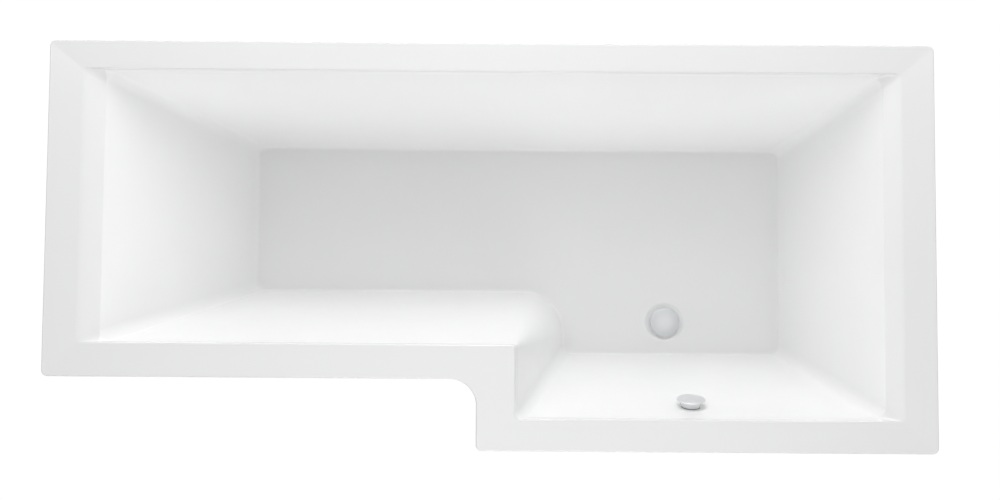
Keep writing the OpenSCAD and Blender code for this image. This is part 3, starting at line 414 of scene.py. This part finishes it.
# %% Measures of the moulding
MM = 0.001
SIDES = ("head", "tap", "back", "wide", "narrow", "step")
RIM = dict(zip(SIDES, (-850, 850, 390, -390, -255, -25)))
DECK = dict(zip(SIDES, (62, 61, 55, 61, 65, 71)))
LIP = dict(zip(SIDES, (41, 32, 3, 2, 2, 8)))
LEAN = dict(zip(SIDES, (225, 118, 93, 111, 108, 105)))
FOOT = {s: DECK[s] + LIP[s] + LEAN[s] for s in SIDES}
RIM_Z, SKIRT, ROLL_IN, ROLL_DOWN, DECK_FALL, LIP_DROP, FLOOR_Z = 550, 42, 3, 6, 3, 22, 150
WALL_H = RIM_Z - LIP_DROP - FLOOR_Z
FILLET, FALL = 6, 6
SHEET, GLUE, BACKING = 5, 0.05, 8
CORNER, LIP_CORNER, WALL_CORNER, FOOT_CORNER = 12, 6, 24, 22
RIM_KNEE, LIP_KNEE, FOOT_KNEE = 50, 8, 88
FOOT_X = (RIM["head"] + FOOT["head"], RIM["tap"] - FOOT["tap"])
print("floor from", FOOT_X[0], "to", FOOT_X[1], "mm")


def mix(a, b, share):
    return a + (b - a) * share


# %% [markdown]
# ## Three kinds of height
# Most lines round the bath lie level. The floor falls six millimetres towards the waste. The decks fall
# three millimetres towards the basin, each as a plane of its own, so two decks meet in a fine mitre at a
# corner. The lesser of two falls makes an outer corner, and the greater makes the inner corner at the step.

# %% Heights
def rise(x):
    return FALL * (FOOT_X[1] - x) / (FOOT_X[1] - FOOT_X[0])


def level(z):
    return lambda x, y: z


def floor_level(z):
    return lambda x, y: z + rise(x)


def deck_level(x, y):
    inset = {"head": x - RIM["head"], "tap": RIM["tap"] - x, "back": RIM["back"] - y,
             "wide": y - RIM["wide"], "narrow": y - RIM["narrow"], "step": x - RIM["step"]}
    share = {s: (inset[s] - ROLL_IN) / (DECK[s] - ROLL_IN) for s in SIDES}
    at_step = max(share["narrow"], share["step"])
    least = min(share["head"], share["tap"], share["back"], share["wide"], at_step)
    return RIM_Z - DECK_FALL * max(0.0, least)


# %% [markdown]
# ## One ring of the moulding
# The moulding is a stack of rings that all have the same count of points, so that each can be bridged to
# the next. A ring starts as a flat sheet with six corners. The vertex bevel rounds the five outer corners
# with one radius and the knee with its own, then the sheet is deleted and its edges stay.

# %% Rings
def ring(bm, inset, height, corner, knee, out, down, depth):
    inset = {s: inset[s] - out * depth for s in SIDES}
    head, tap = RIM["head"] + inset["head"], RIM["tap"] - inset["tap"]
    back, wide = RIM["back"] - inset["back"], RIM["wide"] + inset["wide"]
    narrow, step = RIM["narrow"] + inset["narrow"], RIM["step"] + inset["step"]
    plan = ((head, back), (head, narrow), (step, narrow), (step, wide), (tap, wide), (tap, back))
    sheet = bmesh.new()
    corners = [sheet.verts.new((x, y, 0)) for x, y in plan]
    sheet.faces.new(corners)
    bevel = {"offset_type": "OFFSET", "profile": 0.5, "affect": "VERTICES", "material": -1}
    bmesh.ops.bevel(sheet, geom=[corners[2]], offset=knee - out * depth, segments=20, **bevel)
    sharp = [v for v in corners if v.is_valid and v is not corners[2]]
    bmesh.ops.bevel(sheet, geom=sharp, offset=corner + out * depth, segments=10, **bevel)
    bmesh.ops.delete(sheet, geom=sheet.faces[:], context="FACES_ONLY")
    for v in sheet.verts:
        v.co = MM * Vector((v.co.x, v.co.y, height(v.co.x, v.co.y) - down * depth))
    count = len(bm.edges)
    joined(bm, sheet)
    bm.edges.ensure_lookup_table()
    return bm.edges[count:]


# %% [markdown]
# ## The stations of the section
# Reading the section from the skirt to the floor gives the stations. The roll at the edge is a quarter
# ellipse. The lips at both ends are soft and fall slowly at first, while those along the long sides drop
# steeply, so each side's inset depends on the drop in its own way. A sharp crease is a pair of close
# stations, which leaves a thin band to catch the light.

# %% Stations
EDGE = 2.5
SHARE = 0.8
ROLL_STEPS = 7
LIP_H = LIP_DROP - DECK_FALL
LIP_DROPS = (0, 0.2, 0.7, 1.4, EDGE, 5, 8.5, 13, LIP_H - 2, LIP_H)
WALL_TOP = ROLL_STEPS + len(LIP_DROPS)
LIP_FORM = dict(zip(SIDES, (0.62, 0.66, 3.0, 1.0, 1.0, 0.5)))


def lip_inset(drop):
    share = drop / LIP_H
    round_off = EDGE - math.sqrt(max(0.0, EDGE ** 2 - max(0.0, EDGE - drop) ** 2))
    return {s: DECK[s] + LIP[s] * share ** LIP_FORM[s] - (round_off if LIP[s] < 5 else 0.0) for s in SIDES}


def stations():
    yield {s: 0 for s in SIDES}, level(RIM_Z - SKIRT), CORNER, RIM_KNEE, -1, 0
    for i in range(ROLL_STEPS):
        a = math.radians(90 / (ROLL_STEPS - 1) * i)
        inward, up = ROLL_IN * (1 - math.cos(a)), RIM_Z - ROLL_DOWN * (1 - math.sin(a))
        yield ({s: inward for s in SIDES}, deck_level if i == ROLL_STEPS - 1 else level(up),
               CORNER - inward, RIM_KNEE + inward, -math.cos(a), math.sin(a))
    for drop in LIP_DROPS:
        share = drop / LIP_H
        yield (lip_inset(drop), level(RIM_Z - DECK_FALL - drop) if drop else deck_level,
               mix(LIP_CORNER, WALL_CORNER, math.sqrt(share)), LIP_KNEE, SHARE, mix(1, SHARE, share))
    for share in (0.006, 0.35, 0.7, 0.994):
        k = mix(0, 1 - FILLET / WALL_H, share)
        yield ({s: DECK[s] + LIP[s] + LEAN[s] * k for s in SIDES},
               lambda x, y, k=k, share=share: mix(RIM_Z - LIP_DROP, FLOOR_Z, k) + share * rise(x),
               mix(WALL_CORNER, FOOT_CORNER, share), mix(LIP_KNEE, FOOT_KNEE, share), SHARE, SHARE)
    for i in range(5):
        s = i / 4
        a, c = (1 - s) ** 2, s * s
        yield ({side: FOOT[side] - a * LEAN[side] * FILLET / WALL_H + c * FILLET for side in SIDES},
               floor_level(FLOOR_Z + FILLET * a), FOOT_CORNER - s * FILLET / 2, FOOT_KNEE + s * FILLET,
               mix(SHARE, 0, s), mix(SHARE, 1, s))


section = list(stations())
print("section of", len(section), "stations")


# %% [markdown]
# ## A closed skin from the stations
# Both the acrylic sheet and its backing are skins of the same form at different depths. The rings of the
# near side are bridged one to the next, then those of the far side, and the two sides are joined along the
# first ring. The floor is a flat fill between the last ring and the circle round the waste.

# %% Skins
def bridge(bm, first, second):
    bmesh.ops.bridge_loops(bm, edges=list(first) + list(second))


def circle(bm, middle, radius, tilt=False, turn=None, segments=64):
    place = Matrix.Translation(middle) @ (turn or Matrix())
    made = bmesh.ops.create_circle(bm, cap_ends=False, segments=segments, radius=radius, matrix=place)
    made = made["verts"]
    if tilt:
        for v in made:
            v.co.z = middle.z + MM * (rise(v.co.x / MM) - rise(middle.x / MM))
    return list({e for v in made for e in v.link_edges})


def fill(bm, first, second):
    bmesh.ops.triangle_fill(bm, use_beauty=True, use_dissolve=False, edges=list(first) + list(second))


def stack(bm, rings):
    for first, second in zip(rings, rings[1:]):
        flat = abs(first[0].verts[0].co.z - second[0].verts[0].co.z) < 1e-7
        (fill if flat else bridge)(bm, first, second)


def lowered(middle, drop):
    return middle - Vector((0, 0, MM * drop))


WASTE = Vector((0.385, -0.145, MM * (FLOOR_Z + rise(385) - 3)))
OVERFLOW = Vector((0.394, -0.308794, 0.466))
SPIGOT_HOLE = 0.0156
SLOPE = math.atan2(LEAN["wide"], WALL_H)
INTO_BASIN = Matrix.Rotation(SLOPE - math.pi / 2, 4, "X")
print("waste at", tuple(WASTE), "overflow at", tuple(OVERFLOW))


UPRIGHT, WIDE_PART, LARGE = 0.8, (0.05, 0.65), 0.05


def pierce(bm, depth):
    # A round hole through the front wall: the wall's face gives way to a fill round a circle
    middle = OVERFLOW + INTO_BASIN @ Vector((0, 0, -depth))
    upright = [f for f in bm.faces if abs(f.normal.y) > UPRIGHT and f.calc_area() > LARGE
               and WIDE_PART[0] < f.calc_center_median().x < WIDE_PART[1]]
    wall = min(upright, key=lambda f: (f.calc_center_median() - middle).length)
    border = wall.edges[:]
    bmesh.ops.delete(bm, geom=[wall], context="FACES_ONLY")
    hole = circle(bm, middle, SPIGOT_HOLE, turn=INTO_BASIN, segments=48)
    fill(bm, border, hole)
    return hole


# %% [markdown]
# ## The acrylic moulding
# The sheet is five millimetres thick and shows its near side. Round the waste it is pressed three
# millimetres down, into a recess with a sloping edge and a hole. Because the sheet ends in plain skirts,
# its thickness can be seen from below.

# %% Acrylic shell
bm = bmesh.new()
near = [ring(bm, *station, 0) for station in section]
far = [ring(bm, *station, SHEET) for station in section]
stack(bm, near)
stack(bm, far)
fill(bm, near[0], far[0])
RECESS, LAND, DRAIN, BELOW_RECESS = 0.0436, 0.0350, 0.026, 0.048
on_floor = lowered(WASTE, -3)
recess = [circle(bm, on_floor, RECESS, True), circle(bm, lowered(on_floor, 0.5), RECESS - 0.0009, True),
          circle(bm, lowered(WASTE, -0.4), LAND + 0.0013), circle(bm, WASTE, LAND), circle(bm, WASTE, DRAIN),
          circle(bm, lowered(WASTE, SHEET), DRAIN), circle(bm, lowered(WASTE, SHEET), BELOW_RECESS),
          circle(bm, lowered(on_floor, SHEET), BELOW_RECESS, True)]
stack(bm, recess)
fill(bm, near[-1], recess[0])
fill(bm, far[-1], recess[-1])
bmesh.ops.recalc_face_normals(bm, faces=bm.faces[:])
holes = [pierce(bm, depth) for depth in (0, 0.0049)]
bridge(bm, *holes)
BACK_SIDE, END_SIDES = 0.3, 0.74
wall_tops = [e for e in near[WALL_TOP] if e.verts[0].co.y > BACK_SIDE or abs(e.verts[0].co.x) > END_SIDES]
shell = piece("shell", bm, ["acrylic_shell"], crisp=50, creases=wall_tops)
evenly_shaded(shell).weight = 60

# %% [markdown]
# ## The backing
# Three millimetres of glass fibre follow the underside of the sheet, from the deck to the floor. The same
# rings at greater depths make it, so it fits without a gap. The trimmed edge under the deck stays open to
# view.

# %% Glass-fibre backing
bm = bmesh.new()
below = section[ROLL_STEPS:]
near = [ring(bm, *station, SHEET + GLUE) for station in below]
far = [ring(bm, *station, BACKING) for station in below]
stack(bm, near)
stack(bm, far)
bridge(bm, near[0], far[0])
AROUND = BELOW_RECESS + 0.0002
rounds = [circle(bm, lowered(on_floor, depth), AROUND, True) for depth in (SHEET + GLUE, BACKING)]
stack(bm, rounds)
fill(bm, near[-1], rounds[0])
fill(bm, far[-1], rounds[1])
bmesh.ops.recalc_face_normals(bm, faces=bm.faces[:])
holes = [pierce(bm, depth) for depth in (0.005, 0.0078)]
bridge(bm, *holes)
evenly_shaded(piece("backing", bm, ["glassfibre_backing"], crisp=50))


# %% [markdown]
# ## Turned pieces
# Plug cap, knob and collar are round, so each is a profile spun about its axis. The profile is drawn as a
# few points and its corners are rounded by a vertex bevel before the spin, because a real turned edge is
# never sharp.

# %% The lathe
def lathe(profile, place=Matrix(), rounding=0.0004, turns=72, soft=None):
    bm = bmesh.new()
    row = [bm.verts.new((r, 0, z)) for r, z in profile]
    for pair in zip(row, row[1:]):
        bm.edges.new(pair)
    chosen = [v for i, v in enumerate(row) if len(v.link_edges) == 2 and (soft is None or i in soft)]
    if rounding and chosen:
        bmesh.ops.bevel(bm, geom=chosen, offset=rounding, offset_type="OFFSET", segments=3, profile=0.5,
                        affect="VERTICES", material=-1)
    bmesh.ops.spin(bm, geom=bm.verts[:] + bm.edges[:], cent=(0, 0, 0), axis=(0, 0, 1), angle=2 * math.pi,
                   steps=turns, use_merge=True)
    bmesh.ops.remove_doubles(bm, verts=bm.verts[:], dist=1e-6)
    bmesh.ops.transform(bm, matrix=place, verts=bm.verts[:])
    return bm


at_waste = Matrix.Translation(WASTE)
on_wall = Matrix.Translation(OVERFLOW) @ INTO_BASIN

# %% [markdown]
# ## The plug cap
# The cap is a shallow satin dome of 65 mm that hides the drain. Its crown rises five millimetres and turns
# down at the rim into a thin skirt, which hides the flange below. It belongs to the body that lifts. Its
# colour is painted shading: a little paler in the middle and darker at the rim, as a dome looks under a wide
# sky.

# %% Plug cap
def crowned(radius, low, rise_up, stop, step):
    return [(radius * math.sin(math.radians(a)), low + rise_up * math.cos(math.radians(a)))
            for a in range(0, stop, step)]


CAP_R, CAP_INNER, CAP_LOW, SKIRT_END = 0.0325, 0.0318, 0.0063, 0.0006
CAP_EDGE, CAP_RISE = CAP_LOW + 0.001, 0.005
dome = crowned(CAP_R, CAP_EDGE, CAP_RISE, 86, 5)
skirt = [(CAP_R, CAP_EDGE), (CAP_R, SKIRT_END), (CAP_INNER, SKIRT_END), (CAP_INNER, CAP_LOW), (0.0, CAP_LOW)]
turned_down = {len(dome) + 1, len(dome) + 2}
cap = piece("cap", lathe([*dome, *skirt], at_waste, 0.0002, 96, turned_down), ["plug_cap"])
# The cap takes the finish with painted shading
cap.data.materials[0] = finishes["cap painted shading"]

# %% [markdown]
# ## Knob and collar of the overflow
# The knob is a thin disc on a hub that stands three millimetres off the collar, and water enters through
# that gap. Seen from above, both show as thin crescents with a dark slit between them. The collar is an
# open cup whose spigot passes the wall.

# %% Knob and collar
KNOB_R, KNOB_LOW, HUB_R, GAP = 0.028, 0.013, 0.007, 0.003
KNOB_RISE, CHAMFER_UNDER = 0.0025, 0.001
crown = crowned(KNOB_R, KNOB_LOW + 2 * CHAMFER_UNDER, KNOB_RISE, 91, 9)
knob = [*crown, (KNOB_R, KNOB_LOW + CHAMFER_UNDER), (KNOB_R - CHAMFER_UNDER, KNOB_LOW), (HUB_R, KNOB_LOW),
        (HUB_R, KNOB_LOW - GAP), (0.0, KNOB_LOW - GAP)]
under_crown = {len(crown) + i for i in range(4)}
piece("knob", lathe(knob, on_wall, 0.0004, 96, under_crown), ["overflow_knob"])

SPIGOT_R, SPIGOT_BORE, SPIGOT_END, CUP_R, CUP_BORE = 0.015, 0.012, -0.0246, 0.0185, 0.017
CUP_LOW, CUP_FLOOR, CUP_TOP = 0.001, 0.0055, 0.010
cup = [(SPIGOT_BORE, SPIGOT_END), (SPIGOT_R, SPIGOT_END), (SPIGOT_R, CUP_LOW), (CUP_R, CUP_LOW),
       (CUP_R, CUP_TOP), (CUP_BORE, CUP_TOP), (CUP_BORE, CUP_FLOOR), (SPIGOT_BORE, CUP_FLOOR),
       (SPIGOT_BORE, SPIGOT_END)]
bm = lathe(cup, on_wall, 0.0004, 96)
SPINDLE_BORE, HUB_HALF = 0.00405, 0.003
hub = [(SPINDLE_BORE, -HUB_HALF), (HUB_R, -HUB_HALF), (HUB_R, HUB_HALF), (SPINDLE_BORE, HUB_HALF),
       (SPINDLE_BORE, -HUB_HALF)]
turned_hub = lathe(hub, on_wall, 0.0003, 48)
SPOKE_FROM_AXIS, SPOKE_SIZE = 0.0096, (0.0054, 0.003, 0.006)
for turn in (0, 120, 240):
    spoke = Matrix.Translation((SPOKE_FROM_AXIS, 0, 0)) @ Matrix.Diagonal((*SPOKE_SIZE, 1))
    turned = Matrix.Rotation(math.radians(turn), 4, "Z")
    bmesh.ops.create_cube(turned_hub, size=1.0, matrix=on_wall @ turned @ spoke)
piece("collar", joined(bm, turned_hub), ["overflow_collar"])

# %% [markdown]
# ## The overflow hose
# A ribbed hose drops from the overflow, bends under the basin and meets the waste. It is spun as a straight
# ribbed tube first, with smooth ends for the nuts, and then every point is carried onto the route. Bending
# a finished tube keeps its ribs square to the path, which a stack of separate rings would not.

# %% Routes
def smooth(share):
    share = min(1.0, max(0.0, share))
    return share * share * (3 - 2 * share)


def down_and_under(start, end, bend, straight):
    line = start.z - end.z - bend
    length = line + bend * math.pi / 2 + end.y - start.y - bend

    def at(s):
        a = min(math.pi / 2, max(0.0, s - line) / bend)
        return Vector((mix(start.x, end.x, smooth((s - straight) / (line - 2 * straight))),
                       start.y + bend * (1 - math.cos(a)) + max(0.0, s - line - bend * math.pi / 2),
                       start.z - min(s, line) - bend * math.sin(a)))
    return at, length


def carry(bm, at, length):
    # A straight mesh along +Z, from 0 to length, is laid along the route
    for v in bm.verts:
        x, y, s = v.co
        middle = at(s)
        ahead = (at(min(length, s + 0.001)) - at(max(0.0, s - 0.001))).normalized()
        side = ahead.cross(Vector((1, 1, 0))).normalized()
        v.co = middle + side * x + ahead.cross(side) * y


ELBOW_DEPTH, UNDER_ELBOW, INLET = 0.0302, 0.0583, Vector((0, -0.0473, -0.045))
HOSE_BEND, IN_NUT = 0.060, 0.034
hose_start = OVERFLOW + INTO_BASIN @ Vector((0, 0, -ELBOW_DEPTH)) - Vector((0, 0, UNDER_ELBOW))
hose_end = WASTE + INLET
hose_at, hose_length = down_and_under(hose_start, hose_end, HOSE_BEND, IN_NUT)
print("hose of", round(hose_length, 4), "m from", tuple(hose_start), "to", tuple(hose_end))

# %% Overflow hose
PITCH, PLAIN_ENDS, HOSE_R, HOSE_BORE = 0.006, 0.068, 0.015, 0.013
RIB = ((0.0155, 0.0008), (0.0166, 0.0020), (0.0170, 0.0030), (0.0166, 0.0040), (0.0155, 0.0052),
       (HOSE_R, PITCH))
ribs = int((hose_length - PLAIN_ENDS) / PITCH)
first = (hose_length - ribs * PITCH) / 2
outside = [(HOSE_R, 0.0), (HOSE_R, first * 0.5), (HOSE_R, first)]
for i in range(ribs):
    outside += [(r, first + i * PITCH + z) for r, z in RIB]
outside += [(HOSE_R, hose_length - first * 0.5), (HOSE_R, hose_length)]
inside = [(HOSE_BORE, z) for _, z in reversed(outside[::3])]
inside[0], inside[-1] = (HOSE_BORE, hose_length), (HOSE_BORE, 0.0)
bm = lathe([*outside, *inside, outside[0]], Matrix(), 0, 32)
carry(bm, hose_at, hose_length)
piece("hose", bm, ["overflow_hose"], crisp=60)

# %% [markdown]
# ## The control cable
# A round black jacket runs from the overflow down the wall, under the floor, and turns into the lever's
# cover. It uses the same way of bending as the hose. The route has three parts, and the last two lie level.

# %% Control cable
CRANK_DEPTH, FROM_CRANK, COVER_END = 0.0661, Vector((0.017, 0, -0.0158)), Vector((0.0511, 0, -0.0333918))
HANG = OVERFLOW + INTO_BASIN @ Vector((0, 0, -CRANK_DEPTH)) + FROM_CRANK
LEAD_IN = WASTE + COVER_END
BEND, TURN, TAIL = 0.045, 0.032, 0.012
corner = LEAD_IN + Vector((TAIL + TURN, -TURN, 0))
drop_at, drop_length = down_and_under(HANG, corner, BEND, TAIL)
cable_length = drop_length + TURN * math.pi / 2 + TAIL


def cable_at(s):
    if s <= drop_length:
        return drop_at(s)
    a = min(math.pi / 2, (s - drop_length) / TURN)
    rest = max(0.0, s - drop_length - TURN * math.pi / 2)
    return corner + Vector((TURN * (math.cos(a) - 1) - rest, TURN * math.sin(a), 0))


CABLE_R, CABLE_STEPS = 0.0025, 160
jacket = [(CABLE_R, cable_length * i / CABLE_STEPS) for i in range(CABLE_STEPS + 1)]
bm = lathe([(0.0, 0.0), *jacket, (0.0, cable_length)], Matrix(), 0, 20)
carry(bm, cable_at, cable_length)
piece("cable", bm, ["control_cable"], crisp=60)
print("cable from", tuple(HANG), "to", tuple(LEAD_IN))

# %% [markdown]
# ## Soft edges on the measured solids
# Sawn wood, folded steel and moulded plastic all have small rounds on their edges, and these catch the
# light. The points of a copied solid are merged, its flat triangles are joined to whole faces, and its
# sharp edges are bevelled. The width of the bevel follows the material: a millimetre on the sawn battens,
# and less on the board, on steel and on plastic.

# %% Softened copies
def merged_copy(name):
    bm = bmesh.new()
    bm.from_mesh(nodes[name].data)
    bmesh.ops.remove_doubles(bm, verts=bm.verts[:], dist=1e-6)
    bmesh.ops.dissolve_limit(bm, angle_limit=math.radians(1), use_dissolve_boundaries=False,
                             verts=bm.verts[:], edges=bm.edges[:], delimit={"NORMAL"})
    return bm


def soften(bm, width):
    sharp = [e for e in bm.edges if e.is_manifold and math.degrees(e.calc_face_angle(0.0)) > 35]
    bmesh.ops.bevel(bm, geom=sharp, offset=width, offset_type="OFFSET", segments=2, profile=0.5,
                    affect="EDGES", clamp_overlap=True, material=-1)


BOARD_EDGE, SAWN_EDGE, STEEL_EDGE, MOULDED_EDGE, NUT_EDGE = 0.0006, 0.001, 0.0004, 0.0005, 0.0003
for width, names in (
        (BOARD_EDGE, ["baseboard"]),
        (SAWN_EDGE, ["back_batten", "head_batten", "tap_batten", "narrow_front_batten", "wide_front_batten"]),
        (STEEL_EDGE, ["head_cradle_bar", "tap_cradle_bar", "head_back_strap", "head_front_strap",
                      "tap_back_strap", "tap_front_strap", "strap_bolts", "centre_foot_bracket"]),
        (MOULDED_EDGE, ["foot_lock_nuts"]),
        (STEEL_EDGE, ["head_wall_bracket", "back_wall_bracket_a", "back_wall_bracket_b", "tap_wall_bracket"]),
        (MOULDED_EDGE, ["lever_cover", "overflow_elbow", "elbow_cover"]),
        (NUT_EDGE, ["upper_hose_nut", "lower_hose_nut"])):
    for name in names:
        bm = merged_copy(name)
        soften(bm, width)
        evenly_shaded(piece("soft_" + name, bm, [name]))

# %% [markdown]
# ## Threads
# A thread is one tooth that climbs as it turns: the spin operator moves along its axis by a fixed step
# while it turns. One turn is spun and then copied up the rod, and the two ends are filled. The tooth is a
# closed ridge that stands on a plain core, so it needs no cutting. Five feet and the tail of the waste get
# such threads.

# %% Threads
INTO_CORE = 0.0002


def thread(root, crest, pitch, low, high, steps=24):
    turn = bmesh.new()
    sunk = root - INTO_CORE
    tooth = [(sunk, 0.03 * pitch), (crest, 0.42 * pitch), (crest, 0.58 * pitch), (sunk, 0.97 * pitch)]
    row = [turn.verts.new((r, 0, low - pitch + z)) for r, z in tooth]
    loop = [turn.edges.new(pair) for pair in zip(row, row[1:] + row[:1])]
    bmesh.ops.spin(turn, geom=row + loop, cent=(0, 0, 0), axis=(0, 0, 1), dvec=(0, 0, pitch / steps),
                   angle=2 * math.pi, steps=steps, use_merge=False)
    kept = bpy.data.meshes.new("turn")
    turn.to_mesh(kept)
    turn.free()
    bm = bmesh.new()
    for _ in range(int((high - low) / pitch) - 1):
        kept.transform(Matrix.Translation((0, 0, pitch)))
        bm.from_mesh(kept)
    bpy.data.meshes.remove(kept)
    bmesh.ops.remove_doubles(bm, verts=bm.verts[:], dist=1e-6)
    bmesh.ops.holes_fill(bm, edges=bm.edges[:], sides=4)
    print("thread of", len(bm.verts), "vertices, open edges:", sum(e.is_boundary for e in bm.edges))
    return bm


def steel_under_board(x):
    return FLOOR_Z + rise(x + HALF_BAR) - UNDER_FLOOR


FEET = {"head_back": (-380, 312), "head_front": (-380, -177), "tap_back": (560, 312),
        "tap_front": (560, -312), "centre": (184, 79.5)}
HALF_BAR, UNDER_FLOOR, BELOW_STEEL, ABOVE_STEEL = 20, 23.6, -2.5, 23
ROOT, CREST, STUD_PITCH, CHAMFER = 0.0051, 0.006, 0.00175, 0.0006
STUD_LOW, HEAD_LOW, HEAD_HIGH, HEAD_R = 0.008, 0.0303, 0.0383, 0.009815
PAD_R, PAD_EDGE, PAD_RIM, NECK_R, NECK_LOW, NECK_TOP = 0.025, 0.001, 0.006, 0.012, 0.014, 0.030
SOCKET_R, SOCKET_LOW = 0.0062, 0.0078
sole = [(0.0, 0.0), (PAD_R - PAD_EDGE, 0.0), (PAD_R, PAD_EDGE), (PAD_R, PAD_RIM), (NECK_R, NECK_LOW),
        (NECK_R, NECK_TOP), (SOCKET_R, NECK_TOP), (SOCKET_R, SOCKET_LOW), (0.0, SOCKET_LOW)]
for foot, (x, y) in FEET.items():
    top = MM * (steel_under_board(x) + (BELOW_STEEL if foot == "centre" else ABOVE_STEEL))
    bar = [(0.0, STUD_LOW), (ROOT, STUD_LOW), (ROOT, top - CHAMFER), (ROOT - CHAMFER, top), (0.0, top)]
    rod = lathe(bar, Matrix(), 0.0002, 24)
    hexagon = [(0.0, HEAD_LOW), (HEAD_R, HEAD_LOW), (HEAD_R, HEAD_HIGH), (0.0, HEAD_HIGH)]
    head = lathe(hexagon, Matrix(), CHAMFER, 6)
    bm = joined(rod, head, thread(ROOT, CREST, STUD_PITCH, STUD_LOW + 0.001, top - CHAMFER))
    bmesh.ops.translate(bm, vec=(MM * x, MM * y, 0), verts=bm.verts[:])
    piece("threaded_" + foot, bm, [foot + "_stud"])
    pad = lathe(sole, Matrix.Translation((MM * x, MM * y, 0)), 0.0008, 72)
    piece("turned_pad_" + foot, pad, [foot + "_pad"])

# %% Threaded tail of the waste
bm = merged_copy("waste_body")
TAIL_TOP, TAIL_END = WASTE.z - 0.064, WASTE.z - 0.096
TAIL_R, TOOTH, TAIL_PITCH, START = 0.0239, 0.0011, 0.002309, 0.0008
for v in bm.verts:
    away = Vector((v.co.x - WASTE.x, v.co.y - WASTE.y, 0))
    if v.co.z < TAIL_TOP + 1e-5 and abs(away.length - TAIL_R) < 0.00025:
        v.co -= away.normalized() * TOOTH
bm.normal_update()
tail = thread(TAIL_R - TOOTH, TAIL_R, TAIL_PITCH, TAIL_END + START, TAIL_TOP - START, 48)
bmesh.ops.translate(tail, vec=(WASTE.x, WASTE.y, 0), verts=tail.verts[:])
soften(bm, 0.0005)
evenly_shaded(piece("waste", joined(bm, tail), ["waste_body"]))

# %% [markdown]
# ## Set the stage
# The floor is a plain pale sheet. The photograph's background is pure white, so the floor and the world
# show white to the camera, while the light that they really give stays at a plain level. Reflections see
# that white floor too, but a darker sky, or the metal would vanish. The floor keeps a share of its own
# shading, so that the bath's shadow still grounds it.

# %% Floor
bm = bmesh.new()
bmesh.ops.create_grid(bm, x_segments=2, y_segments=2, size=9.0)
floor_mesh = bpy.data.meshes.new("studio_floor")
bm.to_mesh(floor_mesh)
bm.free()
floor = bpy.data.objects.new("studio_floor", floor_mesh)
scene.collection.objects.link(floor)
floor_look = bpy.data.materials.new("studio floor")
floor_look.use_nodes = True
tree = floor_look.node_tree
tree.nodes.clear()
rays = Wire(tree, tree.nodes.new("ShaderNodeLightPath").outputs["Is Camera Ray"])
seen = rays.math("MAXIMUM", rays, Wire(tree, rays.socket.node.outputs["Is Glossy Ray"]))
paper = rays.node("BsdfDiffuse", {}, {"Color": (0.80, 0.80, 0.80, 1)})
white = rays.node("Emission", {}, {"Color": (1, 1, 1, 1), "Strength": 1.06})
look = rays.node("MixShader", {}, {0: seen * 0.9, 1: paper, 2: white})
tree.links.new(look.socket, tree.nodes.new("ShaderNodeOutputMaterial").inputs["Surface"])
floor_mesh.materials.append(floor_look)
print("floor of 18 m")

# %% [markdown]
# ## Light
# The tops of the front walls are the brightest faces, the back wall shades softly to its foot, and the
# decks stay a little darker than both. Light that comes at a slant does this: two soft rings of sky, at 30
# and 45 degrees above the horizon, and round lamps one above the other behind and before the bath. Each
# ring is a bell curve over the sine of the height. There is little light from straight above.

# %% World and lamps
world = bpy.data.worlds.new("room")
scene.world = world
world.use_nodes = True
tree = world.node_tree
tree.nodes.clear()
rays = Wire(tree, tree.nodes.new("ShaderNodeLightPath").outputs["Is Camera Ray"])
mirrored = Wire(tree, rays.socket.node.outputs["Is Glossy Ray"])
toward = Wire(tree, tree.nodes.new("ShaderNodeTexCoord").outputs["Generated"])
upward = toward.node("SeparateXYZ", {}, {"Vector": toward}, 2)


NARROWNESS = 40.0


def sky_ring(middle, strength):
    off = upward - middle
    return strength * math.e ** (off * off * -NARROWNESS)


def glow(strength):
    return rays.node("Background", {}, {"Color": (1, 1, 1, 1), "Strength": strength})


ring_light, ceiling, white = glow(sky_ring(0.5, 0.58) + sky_ring(0.707, 0.64)), glow(0.6), glow(1.0)
room = rays.node("MixShader", {}, {0: mirrored, 1: ring_light, 2: ceiling})
room = rays.node("MixShader", {}, {0: rays, 1: room, 2: white})
tree.links.new(room.socket, tree.nodes.new("ShaderNodeOutputWorld").inputs["Surface"])


LAMP_FAR, LAMP_WIDE, BATH_MIDDLE = 2.4, 1.2, Vector((0, 0, 0.4))


def lamp(name, azimuth, height, power):
    data = bpy.data.lights.new(name, "AREA")
    data.shape = "DISK"
    data.size = LAMP_WIDE
    data.energy = power
    made = bpy.data.objects.new(name, data)
    lifted = Matrix.Rotation(math.radians(-height), 3, "Y") @ Vector((LAMP_FAR, 0, 0))
    away = Matrix.Rotation(math.radians(azimuth), 3, "Z") @ lifted
    made.location = BATH_MIDDLE + away
    made.rotation_mode = "QUATERNION"
    made.rotation_quaternion = (-away).to_track_quat("-Z", "Y")
    scene.collection.objects.link(made)
    print("lamp", name, "of", power, "W")


for name, azimuth, height_angle, power in (
        ("back low", 90, 20, 17.4), ("back middle", 90, 40, 11.2), ("back high", 90, 60, 2.5),
        ("back left", 135, 45, 3.8), ("back right", 45, 45, 3.0), ("right low", 0, 20, 0.8),
        ("front low", -90, 20, 13.6), ("front middle", -90, 40, 6.6), ("front high", -90, 60, 5.0)):
    lamp(name, azimuth, height_angle, power)
scene.view_settings.view_transform = "Standard"
